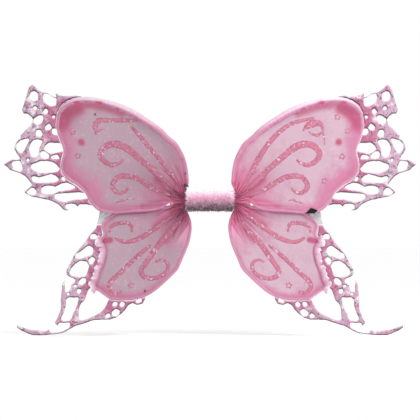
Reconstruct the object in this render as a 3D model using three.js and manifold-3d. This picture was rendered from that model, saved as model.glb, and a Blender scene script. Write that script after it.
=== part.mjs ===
// Fairy wings: four fabric lobes on sprung wire loops, edged with open lace, joined by a fur-covered
// centre that sits between the wearer's shoulder blades. Millimetres, +Z up, +X to the right of
// someone who faces the decorated side, the wearer on the +Y side. The origin is the middle of the
// back pad's flat face.

import * as THREE from "three";
import { mergeVertices } from "three/addons/utils/BufferGeometryUtils.js";
import Module from "manifold-3d";

const wasm = await Module();
wasm.setup();

// Overall sizes
const SPAN = 824; // lace tip to lace tip
const HEIGHT = 501; // highest lace peak to lowest tail
const BOW = 36; // how far the lace tips curve away from the wearer

// Centre
const PAD = { width: 76, height: 36, thick: 6, corner: 9 };
const SLEEVE = { length: 80, height: 42, depth: 33.4, corner: 13, wall: 4 };
const CORE_LENGTH = 70;
const STRAP = { width: 14, thick: 1.2, z: 9, inboard: 22, steps: 34 };
const SPINE = { radius: 1.6, upperZ: 8, lowerZ: -12 };
const ROOT_GAP = 7; // bare wire between the sleeve's end and the root tab

// Lobes
const TAB = { thick: 4, width: 11, top: 16, bottom: -20 };
const WIRE_RADIUS = 1.5;
const WIRE_TAIL = 2; // wire showing past each end of its hem
const BORE_CLEARANCE = 0.6; // room for the wire inside its hem
const HEM_WALL = 1.1;
const RIM_RADIUS = 7.5; // the padded roll along an upper lobe's leading edge
const PANEL_THICK = 1.6;
const LACE_THICK = 5;
const GUSSET_THICK = 1.6;
const SCROLL_THICK = 0.8;
const FOLD = { x: 3, z: -13 }; // lower lobe's pivot, outboard of the swing axis

// Clearances
const SEAT = 0.3; // between pieces that are stitched, glued or clamped together
const LAYER_GAP = 0.5; // between a hem and the root tab that it turns on
const PANEL_GAP = 0.5; // between a panel's edge and the hem that turns with it round a corner
const SCROLL_GAP = 0.6; // glitter film over a bowed panel

const HEM_SIDES = 6;
const WIRE_SIDES = 4;
const PANEL_RINGS = 4;

// Places that follow from the sizes above. Both swing axes are vertical, through the tabs' edges.
const SWING_X = SLEEVE.length / 2 + ROOT_GAP + TAB.thick / 2;
const STRAP_Y = -(PAD.thick + SEAT + STRAP.thick / 2);
const SLEEVE_Y = STRAP_Y - STRAP.thick / 2 - SEAT - SLEEVE.depth / 2;
const BORE_RADIUS = WIRE_RADIUS + BORE_CLEARANCE;
const HEM_RADIUS = BORE_RADIUS + HEM_WALL;
const LAYER_Y = TAB.thick / 2 + LAYER_GAP + HEM_RADIUS * Math.cos(Math.PI / HEM_SIDES);
const REACH = SPAN / 2 - SWING_X;

// The outlines are drawn for these sizes, and place() fits them to the ones above.
const DRAWN = { halfSpan: 412, height: 501, axisX: 49 };

const MATERIALS = {
  pad: ["#d9a2b6", 0.95, 0],
  fur: ["#f6e3ec", 1, 0],
  foam: ["#efe6e8", 0.95, 0],
  steel: ["#b9bcc2", 0.35, 1],
  elastic: ["#f2b9cf", 0.85, 0],
  tape: ["#b9567c", 0.8, 0],
  satin: ["#f08fb8", 0.45, 0],
  nylon: ["#d9a8bf", 0.5, 0],
  lace: ["#e3bccd", 0.7, 0],
  organza: ["#c9cdcc", 0.6, 0],
  glitter: ["#cf6f8c", 0.4, 0.1],
};

function material(name) {
  const [color, roughness, metalness] = MATERIALS[name];
  return new THREE.MeshStandardMaterial({ color, roughness, metalness });
}

function piece(name, geometry, finish) {
  const mesh = new THREE.Mesh(geometry, material(finish));
  mesh.name = name;
  return mesh;
}

// ---- Outlines of a right-hand lobe: [outboard of the centre plane, above the sleeve's middle] ----

// Outer edge of the hem, clockwise from the root's top, round the lobe, to the root's bottom.
const UPPER_EDGE = [
  [47.5, 17], [43, 28], [43, 42], [45, 60], [50, 80], [58, 97], [67, 111], [80, 122], [95, 137],
  [110, 149], [128, 161], [145, 172], [165, 182], [185, 190], [205, 196], [225, 200], [245, 202],
  [265, 200], [283, 194], [296, 184], [303, 171], [306, 156], [307, 142], [303, 125], [298, 111],
  [294, 100], [293, 89], [296, 77], [298, 65], [296, 52], [289, 41], [280, 33], [269, 27], [260, 20],
  [252, 12], [246, 3], [242, -5], [236, -14], [228, -22], [217, -28], [190, -31], [150, -28],
  [115, -26], [94, -20], [80, -9], [67, -6], [54, -7],
];
const LOWER_EDGE = [
  [56, -12], [72, -12], [84, -15], [110, -18], [150, -22], [184, -26], [203, -36], [214, -46],
  [218, -55], [216, -64], [214, -73], [219, -81], [221, -89], [215, -97], [213, -107], [215, -119],
  [218, -131], [223, -142], [227, -153], [230, -164], [234, -172], [232, -181], [222, -188],
  [211, -196], [200, -203], [186, -205], [165, -205], [148, -203], [130, -198], [112, -188],
  [93, -172], [76, -156], [64, -143], [58, -130], [52, -116], [46, -102], [41, -88], [38, -74],
  [36.5, -60], [37.5, -48], [41, -37], [46, -28], [50, -19],
];
// The points from which all of each lobe's edge can be seen.
const UPPER_MIDDLE = [90, 45];
const LOWER_MIDDLE = [90, -70];
// The padded roll swells from the first of these points of the upper edge to the last.
const RIM_RUN = [4, 20];

const UPPER_LACE = [
  [256, 203], [270, 205], [290, 204], [300, 205], [309, 211], [306, 200], [313, 203], [322, 209],
  [334, 212], [344, 218], [353, 227], [361, 221], [365, 206], [370, 190], [375, 176], [372, 167],
  [364, 167], [357, 162], [353, 156], [356, 147], [366, 138], [378, 125], [377, 119], [383, 116],
  [388, 108], [391, 98], [387, 91], [382, 84], [379, 78], [385, 77], [396, 77], [404, 72], [412, 67],
  [403, 60], [398, 55], [386, 51], [377, 48], [368, 42], [362, 35], [356, 28], [356, 25], [365, 18],
  [372, 12], [366, 7], [356, 2], [340, -1], [322, -5], [312, -9], [304, -13], [299, -18], [294, -23],
  [288, -26], [281, -25], [284, -22], [289, -19], [288, -14], [280, -12], [270, -13], [265, -18],
  [260, -13], [250, -13], [243, -14], [236, -16], [222, -5], [230, 30], [270, 60], [270, 95],
  [280, 140], [275, 170], [256, 190],
];
const UPPER_LACE_HOLES = [
  [[306, 198], [313, 200], [320, 205], [330, 208], [333, 200], [330, 192], [324, 187], [316, 183],
    [308, 185]],
  [[343, 208], [350, 212], [356, 210], [359, 203], [358, 196], [350, 193], [343, 196]],
  [[344, 180], [350, 183], [352, 178], [347, 175]],
  [[323, 175], [328, 178], [333, 171], [328, 167], [324, 169]],
  [[334, 164], [343, 163], [351, 157], [351, 151], [345, 146], [337, 149], [333, 157]],
  [[309, 165], [315, 163], [313, 159], [309, 160]],
  [[308, 138], [314, 138], [316, 131], [311, 127], [300, 126], [302, 133]],
  [[321, 148], [328, 142], [328, 136], [321, 136], [316, 139], [318, 144]],
  [[338, 135], [345, 135], [347, 129], [345, 123], [338, 122], [334, 127]],
  [[361, 118], [370, 116], [378, 114], [385, 107], [385, 98], [380, 91], [374, 90], [370, 97],
    [366, 106], [362, 112]],
  [[334, 114], [345, 116], [352, 114], [357, 108], [360, 99], [357, 84], [349, 81], [343, 86],
    [342, 98], [338, 106]],
  [[291, 101], [299, 109], [310, 109], [321, 110], [328, 104], [331, 98], [324, 92], [317, 89],
    [307, 91], [291, 95]],
  [[300, 79], [305, 86], [314, 84], [318, 81], [312, 78]],
  [[322, 86], [330, 92], [337, 92], [338, 88], [337, 81], [330, 78], [322, 80]],
  [[301, 59], [307, 66], [314, 71], [325, 73], [337, 73], [347, 69], [355, 67], [357, 61], [350, 55],
    [337, 50], [325, 51], [312, 52], [304, 54]],
  [[302, 38], [309, 44], [317, 47], [330, 43], [342, 40], [351, 43], [356, 41], [353, 34], [347, 31],
    [325, 31], [312, 32], [305, 34]],
  [[288, 36], [294, 43], [297, 38], [292, 34]],
  [[268, 21], [278, 27], [287, 30], [297, 28], [309, 21], [317, 24], [327, 24], [336, 20], [336, 10],
    [326, 8], [312, 9], [305, 13], [290, 16], [279, 17]],
  [[347, 14], [351, 19], [356, 20], [365, 12], [361, 8], [352, 6], [347, 9]],
  [[243, 3], [251, 9], [262, 11], [285, 9], [310, 7], [310, 0], [301, -5], [290, -8], [280, -5],
    [270, -2], [255, -2], [246, 0]],
  [[360, 78], [365, 78], [366, 74], [361, 72]],
  [[379, 73.5], [393, 72.5], [395, 66], [391, 62], [394, 59], [386, 55.5], [377, 53], [374, 58],
    [376, 66]],
];
const LOWER_LACE = [
  [216, -53], [227, -53], [229, -60], [236, -68], [243, -75], [249, -85], [255, -93], [263, -102],
  [271, -112], [277, -124], [282, -134], [287, -142], [288, -148], [286, -155], [280, -159],
  [271, -162], [270, -168], [277, -172], [279, -178], [282, -186], [289, -188], [289, -178],
  [291, -163], [296, -171], [298, -190], [299, -222], [305, -238], [311, -249], [304, -257],
  [301, -250], [290, -250], [280, -249], [281, -258], [293, -265], [305, -267.5], [317, -268],
  [321, -261], [328, -265], [345, -263], [360, -261], [372, -257], [386, -252], [385, -259],
  [375, -265], [362, -271], [353, -274], [328, -274], [318, -273], [305, -272], [293, -269.5],
  [280, -263], [268, -256], [255, -253], [245, -249], [232, -245], [212, -244], [200, -244],
  [188, -240], [178, -233], [168, -223], [162, -214], [155, -211], [146, -215], [134, -212],
  [128, -197], [150, -190], [200, -190], [221, -170], [205, -130], [203, -85], [205, -60],
];
const LOWER_LACE_HOLES = [
  [[226, -76], [232, -72], [238, -73], [240, -80], [235, -82], [228, -82]],
  [[235, -100], [243, -96], [252, -102], [262, -110], [268, -112], [270, -120], [258, -121],
    [250, -117], [238, -114], [234, -108]],
  [[230, -123], [236, -118], [243, -124], [241, -132], [236, -132]],
  [[243, -136], [247, -128], [258, -126], [270, -133], [277, -141], [281, -149], [276, -155],
    [262, -158], [250, -156], [246, -148]],
  [[249, -161], [256, -161], [262, -167], [263, -172], [256, -174], [249, -168]],
  [[265, -174], [272, -174], [273, -177], [268, -179]],
  [[258, -183], [265, -182], [266, -187], [262, -191], [258, -188]],
  [[281, -190], [286, -190], [285, -194], [281, -194]],
  [[263, -199], [272, -200], [282, -199], [287, -203], [287, -215], [291, -228], [297, -241],
    [293, -245], [281, -244], [277, -239], [275, -232], [270, -223], [266, -213]],
  [[233, -176], [243, -184], [247, -195], [250, -205], [258, -212], [261, -222], [262, -235],
    [262, -242], [255, -244], [243, -240], [235, -236], [226, -232], [218, -227], [212, -220],
    [207, -212], [202, -200], [214, -190]],
  [[171, -210], [177, -208], [181, -213], [178, -217], [172, -216]],
  [[185, -209], [193, -209], [195, -214], [190, -217], [186, -213]],
  [[181, -225], [189, -223], [196, -229], [195, -235], [187, -236], [182, -231]],
  [[200, -233], [204, -231], [210, -236], [207, -239], [201, -239]],
  [[138, -199], [149, -206], [146, -210], [137, -207]],
];
const NOTCH_GUSSET = [
  [186, -27], [205, -23], [221, -24], [224, -44], [227, -52.6], [212, -52.6], [200, -46],
];

// Glitter scrolls: the line down the middle, with the width at even steps along it.
const SCROLLS = {
  right_upper: {
    scroll_long: {
      line: [[66, 20], [82, 50], [92, 70], [103, 88], [113, 103], [125, 118], [140, 133], [155, 144],
        [170, 151], [190, 156], [209, 160]],
      width: [4, 10, 11, 10, 9, 8, 5],
    },
    scroll_middle: {
      line: [[72, 14], [90, 30], [105, 45], [120, 60], [135, 73], [150, 86], [162, 96], [175, 104],
        [190, 108], [205, 105], [215, 97], [219, 88], [215, 77], [206, 70], [196, 66], [186, 68],
        [178, 72], [174, 77]],
      width: [5, 10, 10, 10, 11, 13, 11, 8, 5, 2],
    },
    scroll_short: {
      line: [[80, 5], [105, 15], [120, 24], [135, 33], [150, 41], [165, 44], [180, 43], [190, 36],
        [195, 25], [190, 14], [180, 10], [170, 13], [163, 20]],
      width: [4, 8, 9, 9, 10, 9, 7, 5, 3],
    },
    hook: {
      line: [[186, 134], [196, 144], [208, 149], [219, 149], [224, 143], [226, 131], [227, 118],
        [224, 108]],
      width: [6, 8, 9, 9, 8, 8, 5],
    },
  },
  left_upper: {
    scroll_long: {
      line: [[66, 30], [78, 48], [95, 70], [107, 85], [120, 100], [138, 121], [157, 143]],
      width: [4, 8, 9, 9, 9, 8, 6],
    },
    scroll_middle: "right_upper",
    scroll_short: "right_upper",
    hook: {
      line: [[158, 152], [180, 153], [205, 154], [222, 154], [229, 147], [228, 136], [219, 131],
        [210, 135]],
      width: [7, 8, 8, 8, 8, 7, 6, 4],
    },
  },
  right_lower: {
    scroll_long: {
      line: [[66, -34], [80, -40], [95, -51], [110, -61], [125, -71], [140, -80], [155, -86],
        [170, -88], [181, -85], [190, -79]],
      width: [5, 8, 9, 9, 10, 9, 8, 5],
    },
    scroll_middle: {
      line: [[60, -46], [80, -68], [95, -84], [108, -101], [120, -118], [131, -134], [138, -146],
        [133, -157], [118, -161], [102, -158], [89, -149], [84, -136], [89, -127], [99, -124],
        [109, -128]],
      width: [5, 11, 12, 11, 10, 10, 9, 8, 7, 4],
    },
    branch: {
      line: [[118, -94], [133, -106], [150, -121], [165, -135], [180, -150], [194, -162],
        [202, -174], [199, -184], [189, -190], [178, -187]],
      width: [4, 8, 9, 9, 9, 9, 8, 5],
    },
    crescent: {
      line: [[157, -68], [157, -57], [165, -50], [178, -50], [191, -53], [200, -60], [201, -69]],
      width: [4, 7, 8, 8, 7, 4],
    },
  },
  left_lower: {
    scroll_long: "right_lower",
    scroll_middle: "right_lower",
    branch: "right_lower",
    crescent: "right_lower",
  },
};

const UPPER = {
  edge: UPPER_EDGE,
  middle: UPPER_MIDDLE,
  rimRun: RIM_RUN,
  outline: UPPER_LACE,
  holes: UPPER_LACE_HOLES,
};
const LOWER = {
  edge: LOWER_EDGE,
  middle: LOWER_MIDDLE,
  outline: LOWER_LACE,
  holes: LOWER_LACE_HOLES,
};

// A drawn point, in the lobe's own plane: x outboard of the swing axis, y (up) from the fold's height.
function place([x, z]) {
  const kx = REACH / (DRAWN.halfSpan - DRAWN.axisX);
  const kz = HEIGHT / DRAWN.height;
  return new THREE.Vector2((x - DRAWN.axisX) * kx, FOLD.z + (z - FOLD.z) * kz);
}

// ---- Solids ----

// Gives a geometry outward faces, whichever way its triangles were listed.
function outward(points, triangles) {
  const geometry = new THREE.BufferGeometry().setFromPoints(points);
  let volume = 0;
  for (const [a, b, c] of triangles) {
    volume += points[a].dot(new THREE.Vector3().crossVectors(points[b], points[c]));
  }
  const index = triangles.map(([a, b, c]) => (volume < 0 ? [a, c, b] : [a, b, c])).flat();
  return geometry.setIndex(index);
}

// Walls between rings of equally many points. The second half of each ring is split along the other
// diagonal, so the two faces of a thin twisted band stay parallel.
function walls(rings, first, sides) {
  const triangles = [];
  for (let i = 0; i + 1 < rings; i++) {
    for (let k = 0; k < sides; k++) {
      const a = first + i * sides + k;
      const b = first + i * sides + ((k + 1) % sides);
      if (k < sides / 2) triangles.push([a, b, b + sides], [a, b + sides, a + sides]);
      else triangles.push([a, b, a + sides], [b, b + sides, a + sides]);
    }
  }
  return triangles;
}

// A solid through rings of points, with flat ends.
function loft(rings) {
  const sides = rings[0].length;
  const last = (rings.length - 1) * sides;
  const triangles = walls(rings.length, 0, sides);
  for (let k = 1; k + 1 < sides; k++) {
    triangles.push([0, k + 1, k], [last, last + k, last + k + 1]);
  }
  return outward(rings.flat(), triangles);
}

// A pipe: outer rings, inner rings of as many points, and a flat annulus at each end.
function pipe(outer, inner) {
  const sides = outer[0].length;
  const offset = outer.length * sides;
  const last = (outer.length - 1) * sides;
  const triangles = walls(outer.length, 0, sides);
  for (const [a, b, c] of walls(inner.length, offset, sides)) triangles.push([a, c, b]);
  for (let k = 0; k < sides; k++) {
    const n = (k + 1) % sides;
    triangles.push([k, offset + n, n], [k, offset + k, offset + n]);
    triangles.push([last + k, last + n, offset + last + n]);
    triangles.push([last + k, offset + last + n, offset + last + k]);
  }
  return outward([...outer.flat(), ...inner.flat()], triangles);
}

// A flat-bottomed shape in the X-Z plane, thickness along Y, centred on y = 0.
function plate(points, thick) {
  const flat = new THREE.ExtrudeGeometry(new THREE.Shape(points), {
    depth: thick,
    bevelEnabled: false,
  });
  const axes = [new THREE.Vector3(1, 0, 0), new THREE.Vector3(0, 0, 1), new THREE.Vector3(0, -1, 0)];
  flat.applyMatrix4(new THREE.Matrix4().makeBasis(...axes));
  return flat.translate(0, thick / 2, 0);
}

// A section in the Y-Z plane, extruded along X and centred on x = 0.
function bar(shape, length) {
  const long = new THREE.ExtrudeGeometry(shape, {
    depth: length,
    bevelEnabled: false,
    curveSegments: 4,
  });
  const axes = [new THREE.Vector3(0, 1, 0), new THREE.Vector3(0, 0, 1), new THREE.Vector3(1, 0, 0)];
  long.applyMatrix4(new THREE.Matrix4().makeBasis(...axes));
  return long.translate(-length / 2, 0, 0);
}

function roundedRectangle(width, height, corner, Kind = THREE.Shape) {
  const x = width / 2 - corner;
  const y = height / 2 - corner;
  const quarter = Math.PI / 2;
  const shape = new Kind();
  shape.absarc(x, y, corner, 0, quarter);
  shape.absarc(-x, y, corner, quarter, 2 * quarter);
  shape.absarc(-x, -y, corner, 2 * quarter, 3 * quarter);
  shape.absarc(x, -y, corner, 3 * quarter, 4 * quarter);
  shape.closePath();
  return shape;
}

function solid(geometry) {
  const bare = geometry.clone();
  bare.deleteAttribute("normal");
  bare.deleteAttribute("uv");
  const merged = mergeVertices(bare, 1e-4);
  return new wasm.Manifold(
    new wasm.Mesh({
      numProp: 3,
      vertProperties: merged.attributes.position.array,
      triVerts: new Uint32Array(merged.index.array),
    }),
  );
}

function geometryOf(made) {
  const { vertProperties, triVerts } = made.getMesh();
  return new THREE.BufferGeometry()
    .setAttribute("position", new THREE.BufferAttribute(vertProperties, 3))
    .setIndex(new THREE.BufferAttribute(triVerts, 1));
}

// The lobes' common curve, round the fold's pivot, so a lower lobe keeps its layer as it folds.
function bowAt(x, z) {
  return (-BOW * ((x - FOLD.x) ** 2 + (z - FOLD.z) ** 2)) / REACH ** 2;
}

function bowed(geometry) {
  const at = geometry.attributes.position;
  for (let i = 0; i < at.count; i++) at.setY(i, at.getY(i) + bowAt(at.getX(i), at.getZ(i)));
  return geometry;
}

// ---- A lobe's edge: stations with a place and the direction into the lobe ----

function edgeStations(drawn, rimRun) {
  const line = drawn.map(place);
  return line.map((at, i) => {
    const before = line[Math.max(i - 1, 0)];
    const after = line[Math.min(i + 1, line.length - 1)];
    const along = after.clone().sub(before).normalize();
    const inward = new THREE.Vector2(along.y, -along.x);
    let radius = HEM_RADIUS;
    if (rimRun && i > rimRun[0] && i < rimRun[1]) {
      const swell = Math.sin((Math.PI * (i - rimRun[0])) / (rimRun[1] - rimRun[0]));
      radius += (RIM_RADIUS - HEM_RADIUS) * Math.sqrt(swell);
    }
    return { at, along, inward, radius };
  });
}

const inset = ({ at, inward }, distance) => at.clone().addScaledVector(inward, distance);

// A ring of points round a station's hem line, in the plane across the edge.
function ring(station, radius, sides, forward, slide = 0) {
  const middle = inset(station, station.radius).addScaledVector(station.along, slide);
  return Array.from({ length: sides }, (_, k) => {
    const turn = (2 * Math.PI * k) / sides;
    const out = middle.clone().addScaledVector(station.inward, -radius * Math.cos(turn));
    return new THREE.Vector3(out.x, -forward + radius * Math.sin(turn), out.y);
  });
}

function hem(stations) {
  const outer = stations.map((s) => ring(s, s.radius, HEM_SIDES, s.radius - HEM_RADIUS));
  const inner = stations.map((s) => ring(s, BORE_RADIUS, HEM_SIDES, 0));
  return bowed(pipe(outer, inner));
}

function frameWire(stations) {
  const rings = stations.map((s) => ring(s, WIRE_RADIUS, WIRE_SIDES, 0));
  rings.unshift(ring(stations[0], WIRE_RADIUS, WIRE_SIDES, 0, -WIRE_TAIL));
  rings.push(ring(stations.at(-1), WIRE_RADIUS, WIRE_SIDES, 0, WIRE_TAIL));
  return bowed(loft(rings));
}

// The fabric inside the hem: two skins of rings shrinking towards a middle, joined round the edge.
function panel(stations, middle) {
  const edge = stations.map((s) => inset(s, 2 * s.radius + PANEL_GAP));
  const centre = place(middle);
  const count = edge.length;
  const points = [];
  const skin = (y) => {
    const first = points.length;
    points.push(new THREE.Vector3(centre.x, y, centre.y));
    for (let r = 1; r <= PANEL_RINGS; r++) {
      for (const e of edge) {
        const at = centre.clone().lerp(e, r / PANEL_RINGS);
        points.push(new THREE.Vector3(at.x, y, at.y));
      }
    }
    return first;
  };
  const front = skin(-PANEL_THICK / 2);
  const back = skin(PANEL_THICK / 2);
  const triangles = [];
  for (let k = 0; k < count; k++) {
    const n = (k + 1) % count;
    for (const [first, flip] of [[front, false], [back, true]]) {
      const add = (a, b, c) => triangles.push(flip ? [a, c, b] : [a, b, c]);
      add(first, first + 1 + n, first + 1 + k);
      for (let r = 0; r + 1 < PANEL_RINGS; r++) {
        const a = first + 1 + r * count;
        add(a + k, a + n, a + count + n);
        add(a + k, a + count + n, a + count + k);
      }
    }
    const rim = 1 + (PANEL_RINGS - 1) * count;
    triangles.push([front + rim + k, front + rim + n, back + rim + n]);
    triangles.push([front + rim + k, back + rim + n, back + rim + k]);
  }
  return bowed(outward(points, triangles));
}

// An outline less the lobe's own area, which its hem fills, and less its holes.
function edging(outline, holes, stations, thick) {
  const lobe = stations.map((s) => inset(s, -SEAT));
  let made = solid(plate(outline.map(place), thick));
  for (const hole of holes) made = made.subtract(solid(plate(hole.map(place), 2 * thick)));
  return bowed(geometryOf(made.subtract(solid(plate(lobe, 2 * thick)))));
}

// A flat band with its width from a list of widths, spread evenly along its line.
function scroll({ line, width }) {
  const curve = new THREE.CatmullRomCurve3(
    line.map(place).map((p) => new THREE.Vector3(p.x, 0, p.y)),
    false,
    "centripetal",
  );
  const steps = Math.round(line.length * 1.4);
  const front = -PANEL_THICK / 2 - SCROLL_GAP - SCROLL_THICK;
  const rings = Array.from({ length: steps + 1 }, (_, i) => {
    const t = i / steps;
    const at = curve.getPointAt(t);
    const along = curve.getTangentAt(t);
    const step = t * (width.length - 1);
    const low = Math.min(Math.floor(step), width.length - 2);
    const half = THREE.MathUtils.lerp(width[low], width[low + 1], step - low) / 2;
    const side = new THREE.Vector3(along.z, 0, -along.x).multiplyScalar(half);
    return [
      [1, front], [-1, front], [-1, front + SCROLL_THICK], [1, front + SCROLL_THICK],
    ].map(([s, y]) => at.clone().addScaledVector(side, s).setY(y));
  });
  return bowed(loft(rings));
}

// Stiff tape that both lobes of a side are stitched to; its inner edge is round, about the swing axis.
function rootTab() {
  const r = TAB.thick / 2;
  const section = new THREE.Shape();
  section.absarc(0, 0, r, Math.PI / 2, (3 * Math.PI) / 2);
  section.lineTo(TAB.width - r, -r);
  section.lineTo(TAB.width - r, r);
  section.closePath();
  const geometry = new THREE.ExtrudeGeometry(section, {
    depth: TAB.top - TAB.bottom,
    bevelEnabled: false,
    curveSegments: 6,
  });
  return bowed(geometry.translate(0, 0, TAB.bottom));
}

// ---- The centre: pad, sleeve, core, spine wires and shoulder straps ----

// The way a right-hand strap takes, as steps out of the pad: [beyond the pad's edge, y, z].
const STRAP_ROUTE = [
  [1, STRAP_Y, STRAP.z], [6, STRAP_Y, STRAP.z + 0.5], [12, -4.5, 12], [19, 6, 18], [28, 35, 38],
  [35, 80, 58], [38, 125, 62], [39, 160, 40], [39, 172, 2], [38, 160, -34], [37, 125, -54],
  [33, 80, -52], [26, 35, -34], [19, 6, -17], [12, -4.5, -12], [6, STRAP_Y, -STRAP.z - 0.5],
  [1, STRAP_Y, -STRAP.z],
];

function shoulderStrap() {
  const edge = PAD.width / 2;
  const ends = [STRAP.z, -STRAP.z].map((z) => [
    new THREE.Vector3(STRAP.inboard, STRAP_Y, z),
    new THREE.Vector3((STRAP.inboard + edge) / 2, STRAP_Y, z),
  ]);
  const curve = new THREE.CatmullRomCurve3([
    ...ends[0],
    ...STRAP_ROUTE.map(([x, y, z]) => new THREE.Vector3(edge + x, y, z)),
    ...ends[1].reverse(),
  ]);
  const rings = Array.from({ length: STRAP.steps + 1 }, (_, i) => {
    const t = (1 - Math.cos((Math.PI * i) / STRAP.steps)) / 2; // closer together towards the ends
    const along = curve.getTangentAt(t);
    // The band stands upright at the pad and turns to lie flat over and under the shoulder.
    const turn = (Math.PI / 2) * THREE.MathUtils.smoothstep(0.5 - Math.abs(t - 0.5), 0.08, 0.3);
    const across = new THREE.Vector3(Math.sin(turn), 0, Math.cos(turn));
    across.addScaledVector(along, -across.dot(along)).normalize();
    const through = new THREE.Vector3().crossVectors(along, across);
    const corners = [[1, 1], [-1, 1], [-1, -1], [1, -1]];
    return corners.map(([w, h]) =>
      curve
        .getPointAt(t)
        .addScaledVector(across, (w * STRAP.width) / 2)
        .addScaledVector(through, (h * STRAP.thick) / 2),
    );
  });
  return loft(rings);
}

function sleeve() {
  const { height, depth, corner, wall, length } = SLEEVE;
  const shape = roundedRectangle(depth, height, corner);
  shape.holes.push(
    roundedRectangle(depth - 2 * wall, height - 2 * wall, corner - wall, THREE.Path),
  );
  return bar(shape, length);
}

function foamCore() {
  const loss = 2 * (SLEEVE.wall + SEAT);
  const corner = SLEEVE.corner - SLEEVE.wall - SEAT;
  const shape = roundedRectangle(SLEEVE.depth - loss, SLEEVE.height - loss, corner);
  for (const z of [SPINE.upperZ, SPINE.lowerZ]) {
    shape.holes.push(new THREE.Path().absarc(0, z, SPINE.radius + SEAT, 0, 2 * Math.PI));
  }
  return bar(shape, CORE_LENGTH);
}

function spineWire() {
  const reach = SLEEVE.length / 2 + ROOT_GAP - SEAT;
  return new THREE.CylinderGeometry(SPINE.radius, SPINE.radius, 2 * reach, 8).rotateZ(Math.PI / 2);
}

function centre() {
  const group = new THREE.Group();
  const padShape = roundedRectangle(PAD.width, PAD.height, PAD.corner).getPoints(5);
  const pad = piece("back_pad", plate(padShape, PAD.thick), "pad");
  pad.position.y = -PAD.thick / 2;

  const tube = new THREE.Group();
  tube.position.y = SLEEVE_Y;
  tube.add(piece("fur_sleeve", sleeve(), "fur"), piece("foam_core", foamCore(), "foam"));
  for (const [name, z] of [["upper", SPINE.upperZ], ["lower", SPINE.lowerZ]]) {
    const wire = piece(`spine_wire_${name}`, spineWire(), "steel");
    wire.position.z = z;
    tube.add(wire);
  }

  const leftStrap = piece("shoulder_strap_left", shoulderStrap(), "elastic");
  leftStrap.scale.x = -1;
  group.add(pad, tube, piece("shoulder_strap_right", shoulderStrap(), "elastic"), leftStrap);
  return group;
}

// ---- One side: root tab, upper lobe in front of it, lower lobe behind it ----

function scrolls(side, level) {
  return Object.entries(SCROLLS[`${side}_${level}`]).map(([name, drawn]) => {
    const shape = typeof drawn === "string" ? SCROLLS[drawn][name] : drawn;
    return piece(`${side}_${level}_${name}`, scroll(shape), "glitter");
  });
}

function lobe(side, level, { edge, middle, rimRun, outline, holes }) {
  const stations = edgeStations(edge, rimRun);
  const named = (what, geometry, finish) => piece(`${side}_${level}_${what}`, geometry, finish);
  const group = new THREE.Group();
  group.position.y = level === "upper" ? -LAYER_Y : LAYER_Y;
  group.add(
    named("frame", frameWire(stations), "steel"),
    named("hem", hem(stations), "satin"),
    named("panel", panel(stations, middle), "nylon"),
    named("lace", edging(outline, holes, stations, LACE_THICK), "lace"),
    ...scrolls(side, level),
  );
  if (level === "lower") {
    group.add(named("gusset", edging(NOTCH_GUSSET, [], stations, GUSSET_THICK), "organza"));
  }
  return group;
}

function wing(side) {
  const group = new THREE.Group();
  const outboard = side === "right" ? 1 : -1;
  group.position.set(outboard * SWING_X, SLEEVE_Y, 0);
  group.scale.x = outboard;
  group.add(
    piece(`${side}_root_tab`, rootTab(), "tape"),
    lobe(side, "upper", UPPER),
    lobe(side, "lower", LOWER),
  );
  return group;
}

const fairyWings = new THREE.Group();
fairyWings.add(centre(), wing("right"), wing("left"));

export default fairyWings;
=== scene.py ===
import math

import bmesh
import bpy
import numpy as np
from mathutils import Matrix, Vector, kdtree, noise


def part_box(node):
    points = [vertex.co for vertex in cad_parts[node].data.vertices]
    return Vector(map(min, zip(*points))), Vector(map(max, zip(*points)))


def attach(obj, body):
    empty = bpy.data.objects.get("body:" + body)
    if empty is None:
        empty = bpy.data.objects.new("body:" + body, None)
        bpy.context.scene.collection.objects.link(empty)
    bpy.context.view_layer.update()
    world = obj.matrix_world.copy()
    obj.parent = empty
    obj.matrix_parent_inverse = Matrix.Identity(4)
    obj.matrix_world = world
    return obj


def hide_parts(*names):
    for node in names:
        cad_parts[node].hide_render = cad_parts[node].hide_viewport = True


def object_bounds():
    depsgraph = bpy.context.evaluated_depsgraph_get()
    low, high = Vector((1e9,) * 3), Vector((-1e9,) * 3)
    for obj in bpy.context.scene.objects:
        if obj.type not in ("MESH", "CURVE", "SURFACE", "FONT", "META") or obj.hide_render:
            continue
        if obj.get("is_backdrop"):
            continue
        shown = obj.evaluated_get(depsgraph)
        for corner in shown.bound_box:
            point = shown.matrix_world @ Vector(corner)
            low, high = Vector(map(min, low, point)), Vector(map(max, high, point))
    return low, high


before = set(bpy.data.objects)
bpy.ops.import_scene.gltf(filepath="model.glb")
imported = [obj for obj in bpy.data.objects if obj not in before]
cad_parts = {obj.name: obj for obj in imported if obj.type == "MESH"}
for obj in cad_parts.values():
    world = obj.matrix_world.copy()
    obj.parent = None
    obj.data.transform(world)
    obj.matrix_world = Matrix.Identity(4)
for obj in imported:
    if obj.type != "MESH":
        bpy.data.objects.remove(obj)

cad_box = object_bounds()

# ---- Back pad ---------------------------------------------------------------------------------
# A slim foam pad in brushed pink felt that lies between the wearer's shoulder blades. Its cover is
# one bag, puffed by the foam, with a row of stitches all round that pulls a groove into it.

MM = 0.001
SIDES = {"right": 1, "left": -1}
PAD_HALF_WIDTH, PAD_HALF_HEIGHT, PAD_CORNER, PAD_THICK = 38, 18, 9, 6
PAD_SEAM_INSET, PAD_GROOVE, PAD_GROOVE_DEPTH = 4.2, 0.9, 0.32
PAD_VOXEL, PAD_TAKEN_IN, PAD_MOVED = 2.2, (0.97, 0.86, 0.94), 0.42  # room for the foam to puff it
PAD_PRESSURE, PAD_MOST_PUFF = 3.0, 1.1
PAD_STITCHES = (3.4, 2.5, 0.55)  # from one to the next, each one's length, and the thread's thickness
LIT = 1.46  # how much brighter the studio makes a dye than its own reflectance


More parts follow.
